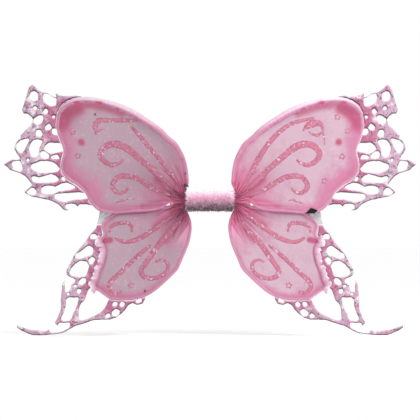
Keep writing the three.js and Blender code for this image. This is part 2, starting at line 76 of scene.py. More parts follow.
def dye(red, green, blue, lit=LIT):
    """A dye's linear reflectance, from the 0 to 255 colour that it shows in the studio."""
    linear = [(c / 255 / 12.92) if c < 11 else ((c / 255 + 0.055) / 1.055) ** 2.4
              for c in (red, green, blue)]
    return (*[c / lit for c in linear], 1.0)


class Dye:
    """A socket in a finish. Sums and products of sockets add Math nodes; over() lays a colour on one."""

    def __init__(self, socket):
        self.socket = socket

    def node(self, kind, settings, sockets, out=0):
        """Adds a node: its settings first, then a value or a link for each socket named or numbered."""
        tree = self.socket.id_data
        made = tree.nodes.new("ShaderNode" + kind)
        for name, value in settings.items():
            if name == "stops":
                while len(made.color_ramp.elements) < len(value):
                    made.color_ramp.elements.new(0.5)
                for stop, (at, colour) in zip(made.color_ramp.elements, value):
                    stop.position, stop.color = at, colour
            else:
                setattr(made, name, value)
        for name, value in sockets.items():
            if isinstance(value, Dye):
                tree.links.new(value.socket, made.inputs[name])
            else:
                made.inputs[name].default_value = value
        return Dye(made.outputs[out])

    def math(self, operation, *values):
        """Adds a Math node on values and sockets."""
        return self.node("Math", {"operation": operation}, dict(enumerate(values)))

    def __add__(self, other):
        return self.math("ADD", self, other)

    def __sub__(self, other):
        return self.math("SUBTRACT", self, other)

    def __rsub__(self, other):
        return self.math("SUBTRACT", other, self)

    def __mul__(self, other):
        return self.math("MULTIPLY", self, other)

    __radd__ = __add__
    __rmul__ = __mul__

    def step(self, low, high):
        """0 below low, 1 above high, and smooth between them."""
        settings = {"interpolation_type": "SMOOTHSTEP"}
        sockets = {"Value": self, "From Min": low, "From Max": high}
        return self.node("MapRange", settings, sockets)

    def between(self, colour, other):
        """The colour where this is 0, the other where it is 1, and mixed between."""
        return self.node("Mix", {"data_type": "RGBA"}, {0: self, 6: colour, 7: other}, 2)

    def over(self, colour, amount):
        """This colour with another laid over it, as strongly as amount says."""
        return self.node("Mix", {"data_type": "RGBA"}, {0: amount, 6: self, 7: colour}, 2)

    def place(self, stretch=(1, 1, 1)):
        """The piece's own metres, stretched."""
        at = self.node("TexCoord", {}, {}, 3)
        return at.node("VectorMath", {"operation": "MULTIPLY"}, {0: at, 1: stretch})

    def cloud(self, scale, detail=3.0, stretch=(1, 1, 1)):
        """Soft noise from 0 to 1, with scale lumps to the metre."""
        return self.node("TexNoise", {}, {"Vector": self.place(stretch), "Scale": scale, "Detail": detail})

    def mark(self, name):
        """A number stored at each point of the mesh."""
        return self.node("Attribute", {"attribute_name": name}, {}, 2)


def finish(name, **constants):
    """A material with its shader's fixed numbers, and the shader as a Dye to hang nodes on."""
    material = bpy.data.materials.new(name)
    material.use_nodes = True
    shader = material.node_tree.nodes["Principled BSDF"]
    for socket, value in constants.items():
        shader.inputs[socket.replace("_", " ")].default_value = value
    return material, Dye(shader.outputs[0])


def apply_to(shader, **sockets):
    """Links what changes over the surface to the shader."""
    for name, value in sockets.items():
        socket = shader.socket.node.inputs[name.replace("_", " ")]
        shader.socket.id_data.links.new(value.socket, socket)


def relief(height, metres, strength=1.0, under=None):
    """A bump from a height of 0 to 1, metres high, over another bump or the bare surface."""
    sockets = {"Height": height, "Distance": metres, "Strength": strength}
    if under is not None:
        sockets["Normal"] = under
    return height.node("Bump", {}, sockets)


def new_mesh(name, points, faces, smooth=True):
    """A mesh object from points in metres, its faces turned outward."""
    mesh = bpy.data.meshes.new(name)
    mesh.from_pydata(np.asarray(points, float).tolist(), [], faces)
    made = bpy.data.objects.new(name, mesh)
    bpy.context.scene.collection.objects.link(made)
    turn_outward(mesh)
    if smooth:
        mesh.shade_smooth()
    return made


def turn_outward(mesh):
    """Turns every face of a closed mesh to look out."""
    work = bmesh.new()
    work.from_mesh(mesh)
    bmesh.ops.recalc_face_normals(work, faces=work.faces)
    work.to_mesh(mesh)
    work.free()


def note(made, **marks):
    """Stores numbers at the mesh's points, for its finish to read."""
    for name, values in marks.items():
        stored = made.data.attributes.new(name, "FLOAT", "POINT")
        stored.data.foreach_set("value", np.asarray(values, np.float32))


def points_of(mesh):
    """A mesh's points, one to a row, in metres."""
    flat = np.zeros(len(mesh.vertices) * 3)
    mesh.vertices.foreach_get("co", flat)
    return flat.reshape(-1, 3)


def put_points(mesh, points):
    """Moves a mesh's points to new places."""
    mesh.vertices.foreach_set("co", points.ravel())
    mesh.update()


def normals_of(mesh):
    """The way out of the surface at each of a mesh's points."""
    flat = np.zeros(len(mesh.vertices) * 3)
    mesh.vertices.foreach_get("normal", flat)
    return flat.reshape(-1, 3)


def baked(made):
    """The object with its modifiers applied."""
    graph = bpy.context.evaluated_depsgraph_get()
    mesh = bpy.data.meshes.new_from_object(made.evaluated_get(graph))
    made.modifiers.clear()
    made.data = mesh
    return made


def remeshed(name, node, voxel, smooth_rounds=0):
    """A copy of a CAD node's solid as an even mesh, its corners rounded off."""
    made = bpy.data.objects.new(name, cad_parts[node].data.copy())
    made.data.materials.clear()
    bpy.context.scene.collection.objects.link(made)
    even = made.modifiers.new("even", "REMESH")
    even.mode, even.voxel_size = "VOXEL", voxel
    if smooth_rounds:
        soft = made.modifiers.new("soft", "SMOOTH")
        soft.iterations, soft.factor = smooth_rounds, 0.5
    baked(made)
    made.data.shade_smooth()
    return made


def lumps(points, size, seed=0.0):
    """Soft noise from about -1 to 1 at points in metres, with lumps of that size."""
    return np.array([noise.noise(Vector(p) / size + Vector((seed, 2 * seed, -seed)))
                     for p in points])


def layered_lumps(points, layers):
    """Layers of soft noise added up: each one's size of lumps, seed and height."""
    return sum(lumps(points, size, seed) * tall for size, seed, tall in layers)


def puff(made, pressure, most, frames=20):
    """Blows a closed cover up as cloth, and lets no point move further than most."""
    rest = points_of(made.data)
    cloth = made.modifiers.new("puff", "CLOTH")
    cloth.settings.use_pressure = True
    cloth.settings.uniform_pressure_force = pressure
    cloth.settings.effector_weights.gravity = 0
    cloth.point_cache.frame_start, cloth.point_cache.frame_end = 1, frames
    for now in range(1, frames + 1):
        bpy.context.scene.frame_set(now)
    graph = bpy.context.evaluated_depsgraph_get()
    blown = points_of(made.evaluated_get(graph).data)
    made.modifiers.clear()
    bpy.context.scene.frame_set(1)
    move = blown - rest
    far = np.linalg.norm(move, axis=1, keepdims=True)
    put_points(made.data, rest + move * np.minimum(1, most / np.maximum(far, 1e-9)))
    return made


def finer(made):
    """The object with each face split in four and rounded."""
    made.modifiers.new("finer", "SUBSURF").levels = 1
    return baked(made)


def finished(made, material, body, slot, *nodes):
    """Gives a piece its finish and its CAD body, and hides the CAD nodes that it stands for; slot is not
    used.
    """
    made.data.materials.clear()
    made.data.materials.append(material)
    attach(made, body)
    if nodes:
        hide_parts(*nodes)
    return made


def outline_distance(x, z, half_width, half_height, corner):
    """How far inside a rounded rectangle's outline each point is, in the outline's own units."""
    qx = np.abs(x) - (half_width - corner)
    qz = np.abs(z) - (half_height - corner)
    outside = np.hypot(np.maximum(qx, 0), np.maximum(qz, 0))
    return corner - outside - np.minimum(np.maximum(qx, qz), 0)


back_pad = remeshed("back_pad_cover", "back_pad", PAD_VOXEL * MM, 2)
put_points(back_pad.data, points_of(back_pad.data) * PAD_TAKEN_IN - (0, PAD_MOVED * MM, 0))
puff(back_pad, PAD_PRESSURE, PAD_MOST_PUFF * MM)
finer(back_pad)
at = points_of(back_pad.data)
inside = outline_distance(at[:, 0] / MM, at[:, 2] / MM, PAD_HALF_WIDTH, PAD_HALF_HEIGHT, PAD_CORNER)
groove = np.exp(-((inside - PAD_SEAM_INSET) / PAD_GROOVE) ** 2)
middle_y = -PAD_THICK / 2 * MM
at[:, 1] = middle_y + (at[:, 1] - middle_y) * (1 - PAD_GROOVE_DEPTH * groove)
at[:, 1] = np.clip(at[:, 1] + lumps(at, 9 * MM) * 0.16 * MM, -PAD_THICK * MM, 0)
put_points(back_pad.data, at)

felt, base = finish("brushed_felt", Roughness=0.95, Sheen_Weight=0.35, Sheen_Roughness=0.6)
fibres = base.cloud(2600, 4, (1, 1, 0.35))
mottle = base.cloud(160, 3)
colour = (mottle.step(0.35, 0.75) * 0.7).between(dye(233, 158, 186), dye(206, 116, 152))
colour = colour.over(dye(250, 214, 226), fibres.step(0.58, 0.78) * 0.55)
apply_to(base, Base_Color=colour, Normal=relief(fibres, 0.35 * MM, 0.7))
finished(back_pad, felt, "centre", "pad", "back_pad")


def grid_faces(rows, columns, wrap=False, first=0):
    """Quads between rows of points, each row closed on itself if it wraps."""
    i, k = np.meshgrid(np.arange(rows - 1), np.arange(columns if wrap else columns - 1), indexing="ij")
    near, far = first + i * columns, (k + 1) % columns
    quads = np.stack([near + k, near + far, near + columns + far, near + columns + k], -1)
    return quads.reshape(-1, 4).tolist()


def capped_faces(rows, columns, first=0):
    """Quads round a closed tube of points, and one face over each of its ends."""
    last = first + (rows - 1) * columns
    ends = [list(range(first, first + columns)), list(range(last, last + columns))]
    return grid_faces(rows, columns, True, first) + ends


def runs_along(line):
    """How far along a line each of its points is."""
    return np.concatenate([[0], np.cumsum(np.linalg.norm(np.diff(line, axis=0), axis=1))])


def read_at(places, run, line):
    """A line's values at places along it."""
    return np.stack([np.interp(places, run, column) for column in line.T], -1)


def smooth_line(corners, spacing):
    """A smooth curve through corners at even steps, each step's place in their list, and its run."""
    p = np.asarray(corners, float)
    p = np.vstack([2 * p[0] - p[1], p, 2 * p[-1] - p[-2]])
    line, order = [], []
    for i in range(1, len(p) - 2):
        a, b, c, d = p[i - 1:i + 3]
        t1 = np.linalg.norm(b - a) ** 0.5
        t2 = t1 + np.linalg.norm(c - b) ** 0.5
        t3 = t2 + np.linalg.norm(d - c) ** 0.5
        for t in np.linspace(t1, t2, 24, endpoint=False):
            ab = a + (b - a) * t / t1
            bc = b + (c - b) * (t - t1) / (t2 - t1)
            cd = c + (d - c) * (t - t2) / (t3 - t2)
            abc = ab + (bc - ab) * t / t2
            bcd = bc + (cd - bc) * (t - t1) / (t3 - t1)
            line.append(abc + (bcd - abc) * (t - t1) / (t2 - t1))
            order.append(i - 1 + (t - t1) / (t2 - t1))
    line, order = np.vstack([line, p[-2]]), np.append(order, len(p) - 3)
    run = runs_along(line)
    even = np.linspace(0, run[-1], max(2, round(run[-1] / spacing)) + 1)
    return read_at(even, run, line), np.interp(even, run, order), even


def tangents(line):
    """The way that a line runs at each of its points."""
    along = np.gradient(line, axis=0)
    return along / np.maximum(np.linalg.norm(along, axis=1, keepdims=True), 1e-9)


THREAD_RINGS, THREAD_SIDES = 5, 6


def stitches(name, line, normals, pitch, length, thick):
    """Short plump threads lying along a line of points, each sunk at its ends."""
    run = runs_along(line)
    points, faces = [], []
    bend = np.linspace(-0.5, 0.5, THREAD_RINGS)
    for start in np.arange(pitch / 2, run[-1], pitch):
        at, ahead = read_at(start, run, line), read_at(start + 0.2 * pitch, run, line)
        out = read_at(start, run, normals)
        along = (ahead - at) / max(np.linalg.norm(ahead - at), 1e-9)
        side = np.cross(along, out)
        for b in bend:
            reach = thick * (1 - 3.4 * b * b) / 2
            middle = at + along * b * length + out * (reach * 0.7 - thick * 0.12)
            for turn in np.arange(THREAD_SIDES) * 2 * math.pi / THREAD_SIDES:
                points.append(middle + reach * (math.cos(turn) * side + math.sin(turn) * out))
        faces += capped_faces(THREAD_RINGS, THREAD_SIDES, len(points) - THREAD_RINGS * THREAD_SIDES)
    return new_mesh(name, points, faces)


thread, base = finish("sewing_thread", Roughness=0.55, Sheen_Weight=0.2)
twist = base.cloud(3500, 2, (1, 0.4, 1))
colour = twist.step(0.4, 0.7).between(dye(196, 92, 132), dye(236, 160, 190))
apply_to(base, Base_Color=colour, Normal=relief(twist, 0.1 * MM))

turn = np.linspace(0, 2 * math.pi, 241)
across, up = np.cos(turn), np.sin(turn)
seam_corner, seam_depth = PAD_CORNER - PAD_SEAM_INSET, -0.75
seam = np.stack([(PAD_HALF_WIDTH - PAD_CORNER) * np.sign(across.round(9)) + seam_corner * across,
                 np.full_like(turn, seam_depth),
                 (PAD_HALF_HEIGHT - PAD_CORNER) * np.sign(up.round(9)) + seam_corner * up], 1) * MM
outward = np.tile([0, 1.0, 0], (len(turn), 1))
pitch, length, thick = np.array(PAD_STITCHES) * MM
pad_stitches = stitches("back_pad_stitches", seam, outward, pitch, length, thick)
finished(pad_stitches, thread, "centre", "pad")

# ---- Foam core --------------------------------------------------------------------------------
# A block of open-cell foam that fills the fur sleeve and grips the two spine wires. Only its two
# ends show, a little way inside the sleeve.

FOAM_VOXEL, FOAM_CELL, FOAM_ROUGH = 1.1, 1.8, 0.22

foam_core = remeshed("foam_core_block", "foam_core", FOAM_VOXEL * MM)
at = points_of(foam_core.data)
at += normals_of(foam_core.data) * (lumps(at, FOAM_CELL * MM) * FOAM_ROUGH * MM)[:, None]
put_points(foam_core.data, at)
foam, base = finish("open_cell_foam", Roughness=0.95)
cells = base.node("TexVoronoi", {}, {"Vector": base.place(), "Scale": 1500})
# The pores, which the bump sinks, are painted darker: painted shade.
colour = cells.step(0.15, 0.4).between(dye(176, 140, 154), dye(240, 226, 230))
apply_to(base, Base_Color=colour, Normal=relief(cells, 0.4 * MM))
finished(foam_core, foam, "centre", "foam", "foam_core")

# ---- Spine wires ------------------------------------------------------------------------------
# Two lengths of bright drawn steel wire that run through the foam and out of both its ends, with
# their cut ends filed round. They carry the wings.

SPINE_RADIUS, SPINE_REACH = 1.6, 46.7
SPINE_ENDS = [0.97, 0.985, 0.996, 1]  # the last rings, close together where the end is filed round


def tube(name, line, radius, sides):
    """A round solid along a line, its radius one number or one for each point, with closed ends."""
    along = tangents(line)
    side = np.cross(along, (0.0, 1.0, 0.0))
    side /= np.maximum(np.linalg.norm(side, axis=1, keepdims=True), 1e-9)
    out = np.cross(side, along)
    turn = np.arange(sides) * 2 * math.pi / sides
    reach = np.broadcast_to(np.asarray(radius, float), len(line))
    rings = line[:, None] + reach[:, None, None] * (
        np.cos(turn)[None, :, None] * side[:, None] + np.sin(turn)[None, :, None] * out[:, None])
    return new_mesh(name, rings.reshape(-1, 3), capped_faces(len(line), sides))


steel, base = finish("drawn_steel", Metallic=1.0)
draw_marks = base.cloud(900, 3, (0.06, 1, 1))
colour = draw_marks.step(0.4, 0.8).between(dye(196, 198, 204, 1), dye(140, 142, 150, 1))
apply_to(base, Base_Color=colour, Roughness=draw_marks * 0.3 + 0.18, Normal=relief(draw_marks, 0.05 * MM))
for name in ("upper", "lower"):
    low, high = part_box(f"spine_wire_{name}")
    middle = (low + high) / 2
    steps = np.concatenate([[-x for x in SPINE_ENDS[::-1]], np.linspace(-0.95, 0.95, 40), SPINE_ENDS])
    line = np.stack([steps * SPINE_REACH * MM, np.full_like(steps, middle.y),
                     np.full_like(steps, middle.z)], 1)
    taper = np.minimum(1, 0.35 + 3.2 * np.sqrt(1 - np.abs(steps)))
    wire = tube(f"spine_wire_{name}_rod", line, SPINE_RADIUS * MM * taper, 20)
    finished(wire, steel, "centre", "steel", f"spine_wire_{name}")

# ---- Fur sleeve -------------------------------------------------------------------------------
# A tube of faux fur pulled over the foam: a knitted backing with its ends rolled in, and a dense
# pile of fine tufts. White on top, pink round the front and mauve below: partly dye, and partly
# painted light above and painted shade below. Pile and backing also glow a little: painted light.

FUR_LENGTH, FUR_HEIGHT, FUR_DEPTH, FUR_CORNER = 80, 42, 33.4, 13
FUR_ROUND, FUR_END = 96, 10  # points round the sleeve, and the length at each end that fluffs out
FUR_TUFTS, STRANDS_IN_TUFT, PILE = 2700, 8, 6.6
STRAND_RINGS = ((0, 1.0), (0.45, 0.85), (0.8, 0.5))  # how far up a strand, and its share of the width
THIRDS = (0, 2.094, 4.189)
FUR_PAINTED_GLOW = 0.24  # painted light: the pile and its backing give out light in their own colour, for the light a fine pile passes on from strand to strand

sleeve_low, sleeve_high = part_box("fur_sleeve")
SLEEVE_Y = (sleeve_low.y + sleeve_high.y) / 2 / MM


def rounded_section(count, half_y, half_z, corner):
    """Points round a rounded rectangle at even steps, and the way out at each."""
    quarter = np.linspace(0, math.pi / 2, 24)
    y, z, ny, nz = [], [], [], []
    for k, (sy, sz) in enumerate([(1, 1), (-1, 1), (-1, -1), (1, -1)]):
        turn = quarter + k * math.pi / 2
        y.append(sy * (half_y - corner) + corner * np.cos(turn))
        z.append(sz * (half_z - corner) + corner * np.sin(turn))
        ny.append(np.cos(turn))
        nz.append(np.sin(turn))
    loop = np.stack([np.concatenate(v) for v in (y, z, ny, nz)], 1)
    loop = np.vstack([loop, loop[:1]])
    run = runs_along(loop[:, :2])
    return read_at(np.linspace(0, run[-1], count, endpoint=False), run, loop)


def fur_colour_and_shade(base):
    """White above, pink round the middle and mauve below, partly dye and partly painted light above and
    painted shade below; the borders broken up by lumps of pile.
    """
    height = base.node("SeparateXYZ", {}, {0: base.place()}, 2) + (base.cloud(110, 2) - 0.5) * 0.014
    height = height.node("MapRange", {}, {"Value": height, "From Min": -0.026, "From Max": 0.022})
    stops = [(0.0, dye(66, 42, 54, 1)), (0.12, dye(104, 72, 88, 1)), (0.28, dye(164, 122, 142, 1)),
             (0.44, dye(214, 164, 188, 1)), (0.6, dye(240, 200, 222, 1)), (0.74, dye(250, 230, 242, 1)),
             (0.88, dye(254, 246, 251, 1))]
    return height.node("ValToRGB", {"stops": stops}, {0: height})


section = rounded_section(FUR_ROUND, FUR_DEPTH / 2, FUR_HEIGHT / 2, FUR_CORNER)
half = FUR_LENGTH / 2
# The backing from end to end, rolled in at both: [place along, how far out of the section].
profile = [(-half + 9, -3.6), (-half + 1.6, -3.7), (-half + 0.5, -3.1), (-half, -2), (-half + 0.5, -0.9),
           (-half + 1.8, -0.2)]
profile += [(x, -0.15) for x in np.linspace(-half + 4, half - 4, 46)]
profile += [(-x, inset) for x, inset in profile[5::-1]]
rings = []
for x, inset in profile:
    rings.append(np.stack([np.full(FUR_ROUND, x), SLEEVE_Y + section[:, 0] + inset * section[:, 2],
                           section[:, 1] + inset * section[:, 3]], 1))
backing = new_mesh("fur_backing", np.vstack(rings) * MM, grid_faces(len(profile), FUR_ROUND, True))
at = points_of(backing.data)
at += normals_of(backing.data) * (lumps(at, 7 * MM) * 0.5 * MM - 0.4 * MM)[:, None]
put_points(backing.data, at)

draw = np.random.default_rng(11)
points, faces, shade = [], [], []
for tuft in range(FUR_TUFTS):
    x = draw.uniform(-half + 0.4, half - 0.4)
    if tuft % 4 == 0:
        x = math.copysign(half - draw.uniform(0.3, 3.5), x)
    y, z, ny, nz = section[draw.integers(FUR_ROUND)] + draw.normal(0, 0.25, 4) * (1, 1, 0.5, 0.5)
    end = max(0.0, abs(x) - half + FUR_END) / FUR_END
    front = min(1, max(0, -ny * 1.5)) * (1 - max(0, nz) ** 2)
    over = end ** 2 * (1.4 + 3.2 * front)  # in front, the ends' fur lies out over the lobes' roots
    out = np.array([0, ny, nz]) / max(math.hypot(ny, nz), 1e-6)
    comb = draw.normal((0, -0.05, -0.42), (0.34, 0.22, 0.26))  # the pile is combed down
    way = out * (0.42 + 0.9 * end) + comb * (1 - 0.6 * end) + np.array([math.copysign(over, x), 0, 0])
    way /= np.linalg.norm(way)
    root = np.array([x, SLEEVE_Y + y, z])
    long = PILE * draw.uniform(0.65, 1.1) * (1 + (0.2 + 0.8 * front) * end)
    tip = root + way * long
    tone = draw.uniform(0, 1)
    for _ in range(STRANDS_IN_TUFT):
        start = root + draw.normal(0, 0.8, 3) - out * 0.7
        stop = tip + draw.normal(0, 0.75, 3)
        bow_out = out * draw.uniform(0.6, 1.2)
        wide = draw.uniform(0.17, 0.3)
        side = np.cross(stop - start, out)
        side /= max(np.linalg.norm(side), 1e-6)
        other = np.cross(stop - start, side)
        other /= max(np.linalg.norm(other), 1e-6)
        first = len(points)
        for t, w in STRAND_RINGS:
            middle = start + (stop - start) * t + bow_out * 1.4 * t * (1 - t)
            for turn in THIRDS:
                points.append(middle + wide * w * (math.cos(turn) * side + math.sin(turn) * other))
                shade.append(tone)
        points.append(stop)
        shade.append(tone)
        faces += grid_faces(3, 3, True, first) + [[first, first + 1, first + 2]]
        faces += [[first + 6 + k, first + 6 + (k + 1) % 3, first + 9] for k in range(3)]
pile = new_mesh("fur_pile", np.array(points) * MM, faces)
note(pile, tone=shade)

# Painted light: the fur glows with its own colour.
fur, base = finish("faux_fur", Roughness=0.75, Sheen_Weight=0.5, Sheen_Roughness=0.5,
                   Emission_Strength=FUR_PAINTED_GLOW)
tone = base.mark("tone")
colour = fur_colour_and_shade(base).over(dye(255, 240, 248, 1), tone.step(0.7, 1.0) * 0.4)
colour = colour.over(dye(176, 116, 142, 1), (1 - tone.step(0.0, 0.25)) * 0.22)
apply_to(base, Base_Color=colour, Emission_Color=colour)
# Painted light: the backing glows with its own colour too.
knit, base = finish("fur_knit", Roughness=0.9, Emission_Strength=FUR_PAINTED_GLOW)
colour = fur_colour_and_shade(base).over(dye(160, 112, 132, 1), base.cloud(700).step(0.4, 0.7) * 0.3)
apply_to(base, Base_Color=colour, Emission_Color=colour, Normal=relief(base.cloud(1800), 0.3 * MM))
finished(backing, knit, "centre", "fur", "fur_sleeve")
finished(pile, fur, "centre", "fur")

# ---- Shoulder straps --------------------------------------------------------------------------
# Two loops of ribbed pink elastic, 14 mm wide, sewn to the pad with a box of stitches at each end.
# They stand out behind the pad, and the wearer's arms go through them.

STRAP_WIDTH, STRAP_THICK, STRAP_Z, STRAP_INBOARD = 14, 1.2, 9, 22
STRAP_Y = -6.9
STRAP_ROUTE = [
    (1, STRAP_Y, 9), (6, STRAP_Y, 9.5), (12, -4.5, 12), (19, 6, 18), (28, 35, 38), (35, 80, 58),
    (38, 125, 62), (39, 160, 40), (39, 172, 2), (38, 160, -34), (37, 125, -54), (33, 80, -52),
    (26, 35, -34), (19, 6, -17), (12, -4.5, -12), (6, STRAP_Y, -9.5), (1, STRAP_Y, -9)]
RIBS, RIB_DEPTH = 8, 0.14

elastic, base = finish("ribbed_elastic", Roughness=0.8, Sheen_Weight=0.25)
cord_wave = base.mark("along").math("SINE", base.mark("along") * 5200)
weave = base.cloud(2400, 2)
# Darker in the hollows between the ribs: painted shade.
colour = (base.mark("across").step(0.45, 1.0) * 0.8).between(dye(246, 172, 204), dye(214, 118, 160))
colour = colour.over(dye(255, 214, 232), weave.step(0.5, 0.75) * 0.4)
apply_to(base, Base_Color=colour, Normal=relief(cord_wave * 0.5 + weave * 0.5, 0.12 * MM))

for side, sign in SIDES.items():
    route = [(STRAP_INBOARD, STRAP_Y, STRAP_Z), ((STRAP_INBOARD + PAD_HALF_WIDTH) / 2, STRAP_Y, STRAP_Z)]
    route += [(PAD_HALF_WIDTH + x, y, z) for x, y, z in STRAP_ROUTE]
    route += [(x, y, -z) for x, y, z in route[1::-1]]
    line, _, run = smooth_line(route, 1.6)
    share = run / run[-1]
    ease = np.clip((0.5 - np.abs(share - 0.5) - 0.08) / 0.22, 0, 1)
    turn = math.pi / 2 * ease * ease * (3 - 2 * ease)  # sewn flat, and edge on to the pad further out
    along = tangents(line)
    across = np.stack([np.sin(turn), np.zeros(len(line)), np.cos(turn)], 1)
    across -= along * (across * along).sum(1, keepdims=True)
    across /= np.linalg.norm(across, axis=1, keepdims=True)
    through = np.cross(along, across)
    u = np.linspace(-1, 1, 4 * RIBS + 1)
    groove = np.cos(u * RIBS * math.pi) ** 2
    half_thick = STRAP_THICK / 2 * np.minimum(1, 6 * (1 - np.abs(u)) + 0.35) - RIB_DEPTH * (1 - groove)
    loop = [(a, h) for a, h in zip(u, half_thick)] + [(a, -h) for a, h in zip(u[::-1], half_thick[::-1])]
    marks = np.concatenate([1 - groove, (1 - groove)[::-1]])
    rings = np.stack([line + across * a * STRAP_WIDTH / 2 + through * h for a, h in loop], 1)
    count = len(loop)
    faces = grid_faces(len(line), count, True)
    for first in (0, (len(line) - 1) * count):
        faces += [[first + k, first + k + 1, first + count - 2 - k, first + count - 1 - k]
                  for k in range(len(u) - 1)]
    strap = new_mesh(f"shoulder_strap_{side}_elastic", rings.reshape(-1, 3) * MM * (sign, 1, 1), faces)
    note(strap, across=np.tile(marks, len(line)), along=np.repeat(run * MM, count))
    finished(strap, elastic, "centre", "elastic", f"shoulder_strap_{side}")

# ---- Root tabs --------------------------------------------------------------------------------
# A short block of stiff folded tape at each side, which both lobes are stitched to. Its inner edge
# is rolled round the bend in the wire that the whole wing swings on.

SWING_X = 49
TAB_HALF_THICK, TAB_WIDTH, TAB_TOP, TAB_BOTTOM = 2, 11, 16, -20
TAB_ROUNDING = [(0, 0.8), (0.25, 0.93), (0.8, 0.985)]  # in from an end: how far, and how much is left
FOLD_X, FOLD_Z, BOW, REACH = 52, -13, 36, 363
LAYER = {"upper": SLEEVE_Y - 5.271, "lower": SLEEVE_Y + 5.271}


def bow(x, z):
    """How far the lobes' common curve comes forward of the fold, in millimetres."""
    return BOW * ((x - FOLD_X) ** 2 + (z - FOLD_Z) ** 2) / REACH ** 2


tape, base = finish("folded_tape", Roughness=0.8, Sheen_Weight=0.2)
warp, weft = [base.node("TexWave", {"bands_direction": way},
                        {"Vector": base.place(), "Scale": scale, "Distortion": 0.6})
              for way, scale in (("Z", 420), ("X", 520))]
woven = warp * weft
colour = woven.between(dye(176, 70, 108), dye(214, 110, 150))
apply_to(base, Base_Color=colour, Normal=relief(woven, 0.25 * MM))

half, end = TAB_HALF_THICK, TAB_WIDTH - TAB_HALF_THICK
loop = [(half * math.cos(a), half * math.sin(a)) for a in np.linspace(math.pi / 2, 3 * math.pi / 2, 15)]
loop += [(x, -half) for x in np.linspace(1, end - 1.4, 7)]
loop += [(end - 0.4, -0.8 * half), (end, -0.4 * half), (end, 0.4 * half), (end - 0.4, 0.8 * half)]
loop = np.array(loop + [(x, half) for x in np.linspace(end - 1.4, 1, 7)])
middle = end / 2 - 1
rounding, narrowed = np.array(TAB_ROUNDING).T
levels = np.concatenate([TAB_BOTTOM + rounding, np.linspace(TAB_BOTTOM + 2, TAB_TOP - 2, 24),
                         TAB_TOP - rounding[::-1]])
squeeze = np.concatenate([narrowed, np.ones(24), narrowed[::-1]])
for side, sign in SIDES.items():
    rings = []
    for z, share in zip(levels, squeeze):
        x = SWING_X + middle + (loop[:, 0] - middle) * share
        y = SLEEVE_Y + loop[:, 1] * share - bow(FOLD_X, z)
        rings.append(np.stack([sign * x, y, np.full(len(x), z)], 1))
    tab = new_mesh(f"{side}_root_tab_tape", np.vstack(rings) * MM, capped_faces(len(levels), len(loop)))
    finished(tab, tape, f"{side}_wing", "tape", f"{side}_root_tab")

# ---- Wire frames ------------------------------------------------------------------------------
# One length of steel wire to each lobe, bent to its outline and threaded through the bore of its
# hem. Both cut ends show at the root, where they turn into the tab.

UPPER_EDGE = [
    (47.5, 17), (43, 28), (43, 42), (45, 60), (50, 80), (58, 97), (67, 111), (80, 122), (95, 137),
    (110, 149), (128, 161), (145, 172), (165, 182), (185, 190), (205, 196), (225, 200), (245, 202),
    (265, 200), (283, 194), (296, 184), (303, 171), (306, 156), (307, 142), (303, 125), (298, 111),
    (294, 100), (293, 89), (296, 77), (298, 65), (296, 52), (289, 41), (280, 33), (269, 27), (260, 20),
    (252, 12), (246, 3), (242, -5), (236, -14), (228, -22), (217, -28), (190, -31), (150, -28),
    (115, -26), (94, -20), (80, -9), (67, -6), (54, -7)]
LOWER_EDGE = [
    (56, -12), (72, -12), (84, -15), (110, -18), (150, -22), (184, -26), (203, -36), (214, -46),
    (218, -55), (216, -64), (214, -73), (219, -81), (221, -89), (215, -97), (213, -107), (215, -119),
    (218, -131), (223, -142), (227, -153), (230, -164), (234, -172), (232, -181), (222, -188),
    (211, -196), (200, -203), (186, -205), (165, -205), (148, -203), (130, -198), (112, -188),
    (93, -172), (76, -156), (64, -143), (58, -130), (52, -116), (46, -102), (41, -88), (38, -74),
    (36.5, -60), (37.5, -48), (41, -37), (46, -28), (50, -19)]
HEM_RADIUS, RIM_RADIUS, RIM_FIRST, RIM_LAST = 3.2, 7.5, 4, 20
WIRE_RADIUS, WIRE_TAIL = 1.5, 2


class Lobe:
    """A lobe's edge in its own plane, in millimetres, at even steps from the root's top to its bottom."""

    def __init__(self, level, corners):
        self.level = level
        self.line, self.order, self.run = smooth_line(corners, 2.0)
        along = tangents(self.line)
        self.inward = np.stack([along[:, 1], -along[:, 0]], 1)
        self.swell = np.zeros(len(self.line))
        if level == "upper":
            share = np.clip((self.order - RIM_FIRST) / (RIM_LAST - RIM_FIRST), 0, 1)
            self.swell = np.sqrt(np.sin(math.pi * share).clip(0))
        self.radius = HEM_RADIUS + (RIM_RADIUS - HEM_RADIUS) * self.swell

    def inset(self, distance):
        """The edge moved inward by a distance, or by one for each point."""
        return self.line + self.inward * np.reshape(distance, (-1, 1))

    def row_frame(self, side, x, y, z):
        """Points in metres from the lobe's own millimetres, y behind the lobe's middle layer."""
        return np.stack([SIDES[side] * x, LAYER[self.level] - bow(x, z) + y, z], -1) * MM

    def from_edge(self, x, z):
        """How far each point is inside the edge, and the nearest place in the list of corners."""
        far, near = np.full(len(x), 1e9), np.zeros(len(x), int)
        for i, (ex, ez) in enumerate(self.line):
            d = np.hypot(x - ex, z - ez)
            closer = d < far
            far[closer], near[closer] = d[closer], i
        return far, self.order[near]


LOBES = {"upper": Lobe("upper", UPPER_EDGE), "lower": Lobe("lower", LOWER_EDGE)}
BODY = {"upper": "wing", "lower": "lower_lobe"}

for level, lobe in LOBES.items():
    middle = lobe.inset(lobe.radius)
    way = tangents(middle)
    middle = np.vstack([middle[0] - way[0] * WIRE_TAIL, middle, middle[-1] + way[-1] * WIRE_TAIL])
    for side in SIDES:
        line = lobe.row_frame(side, middle[:, 0], np.zeros(len(middle)), middle[:, 1])
        wire = tube(f"{side}_{level}_frame_wire", line, WIRE_RADIUS * MM, 12)
        finished(wire, steel, f"{side}_{BODY[level]}", "steel", f"{side}_{level}_frame")
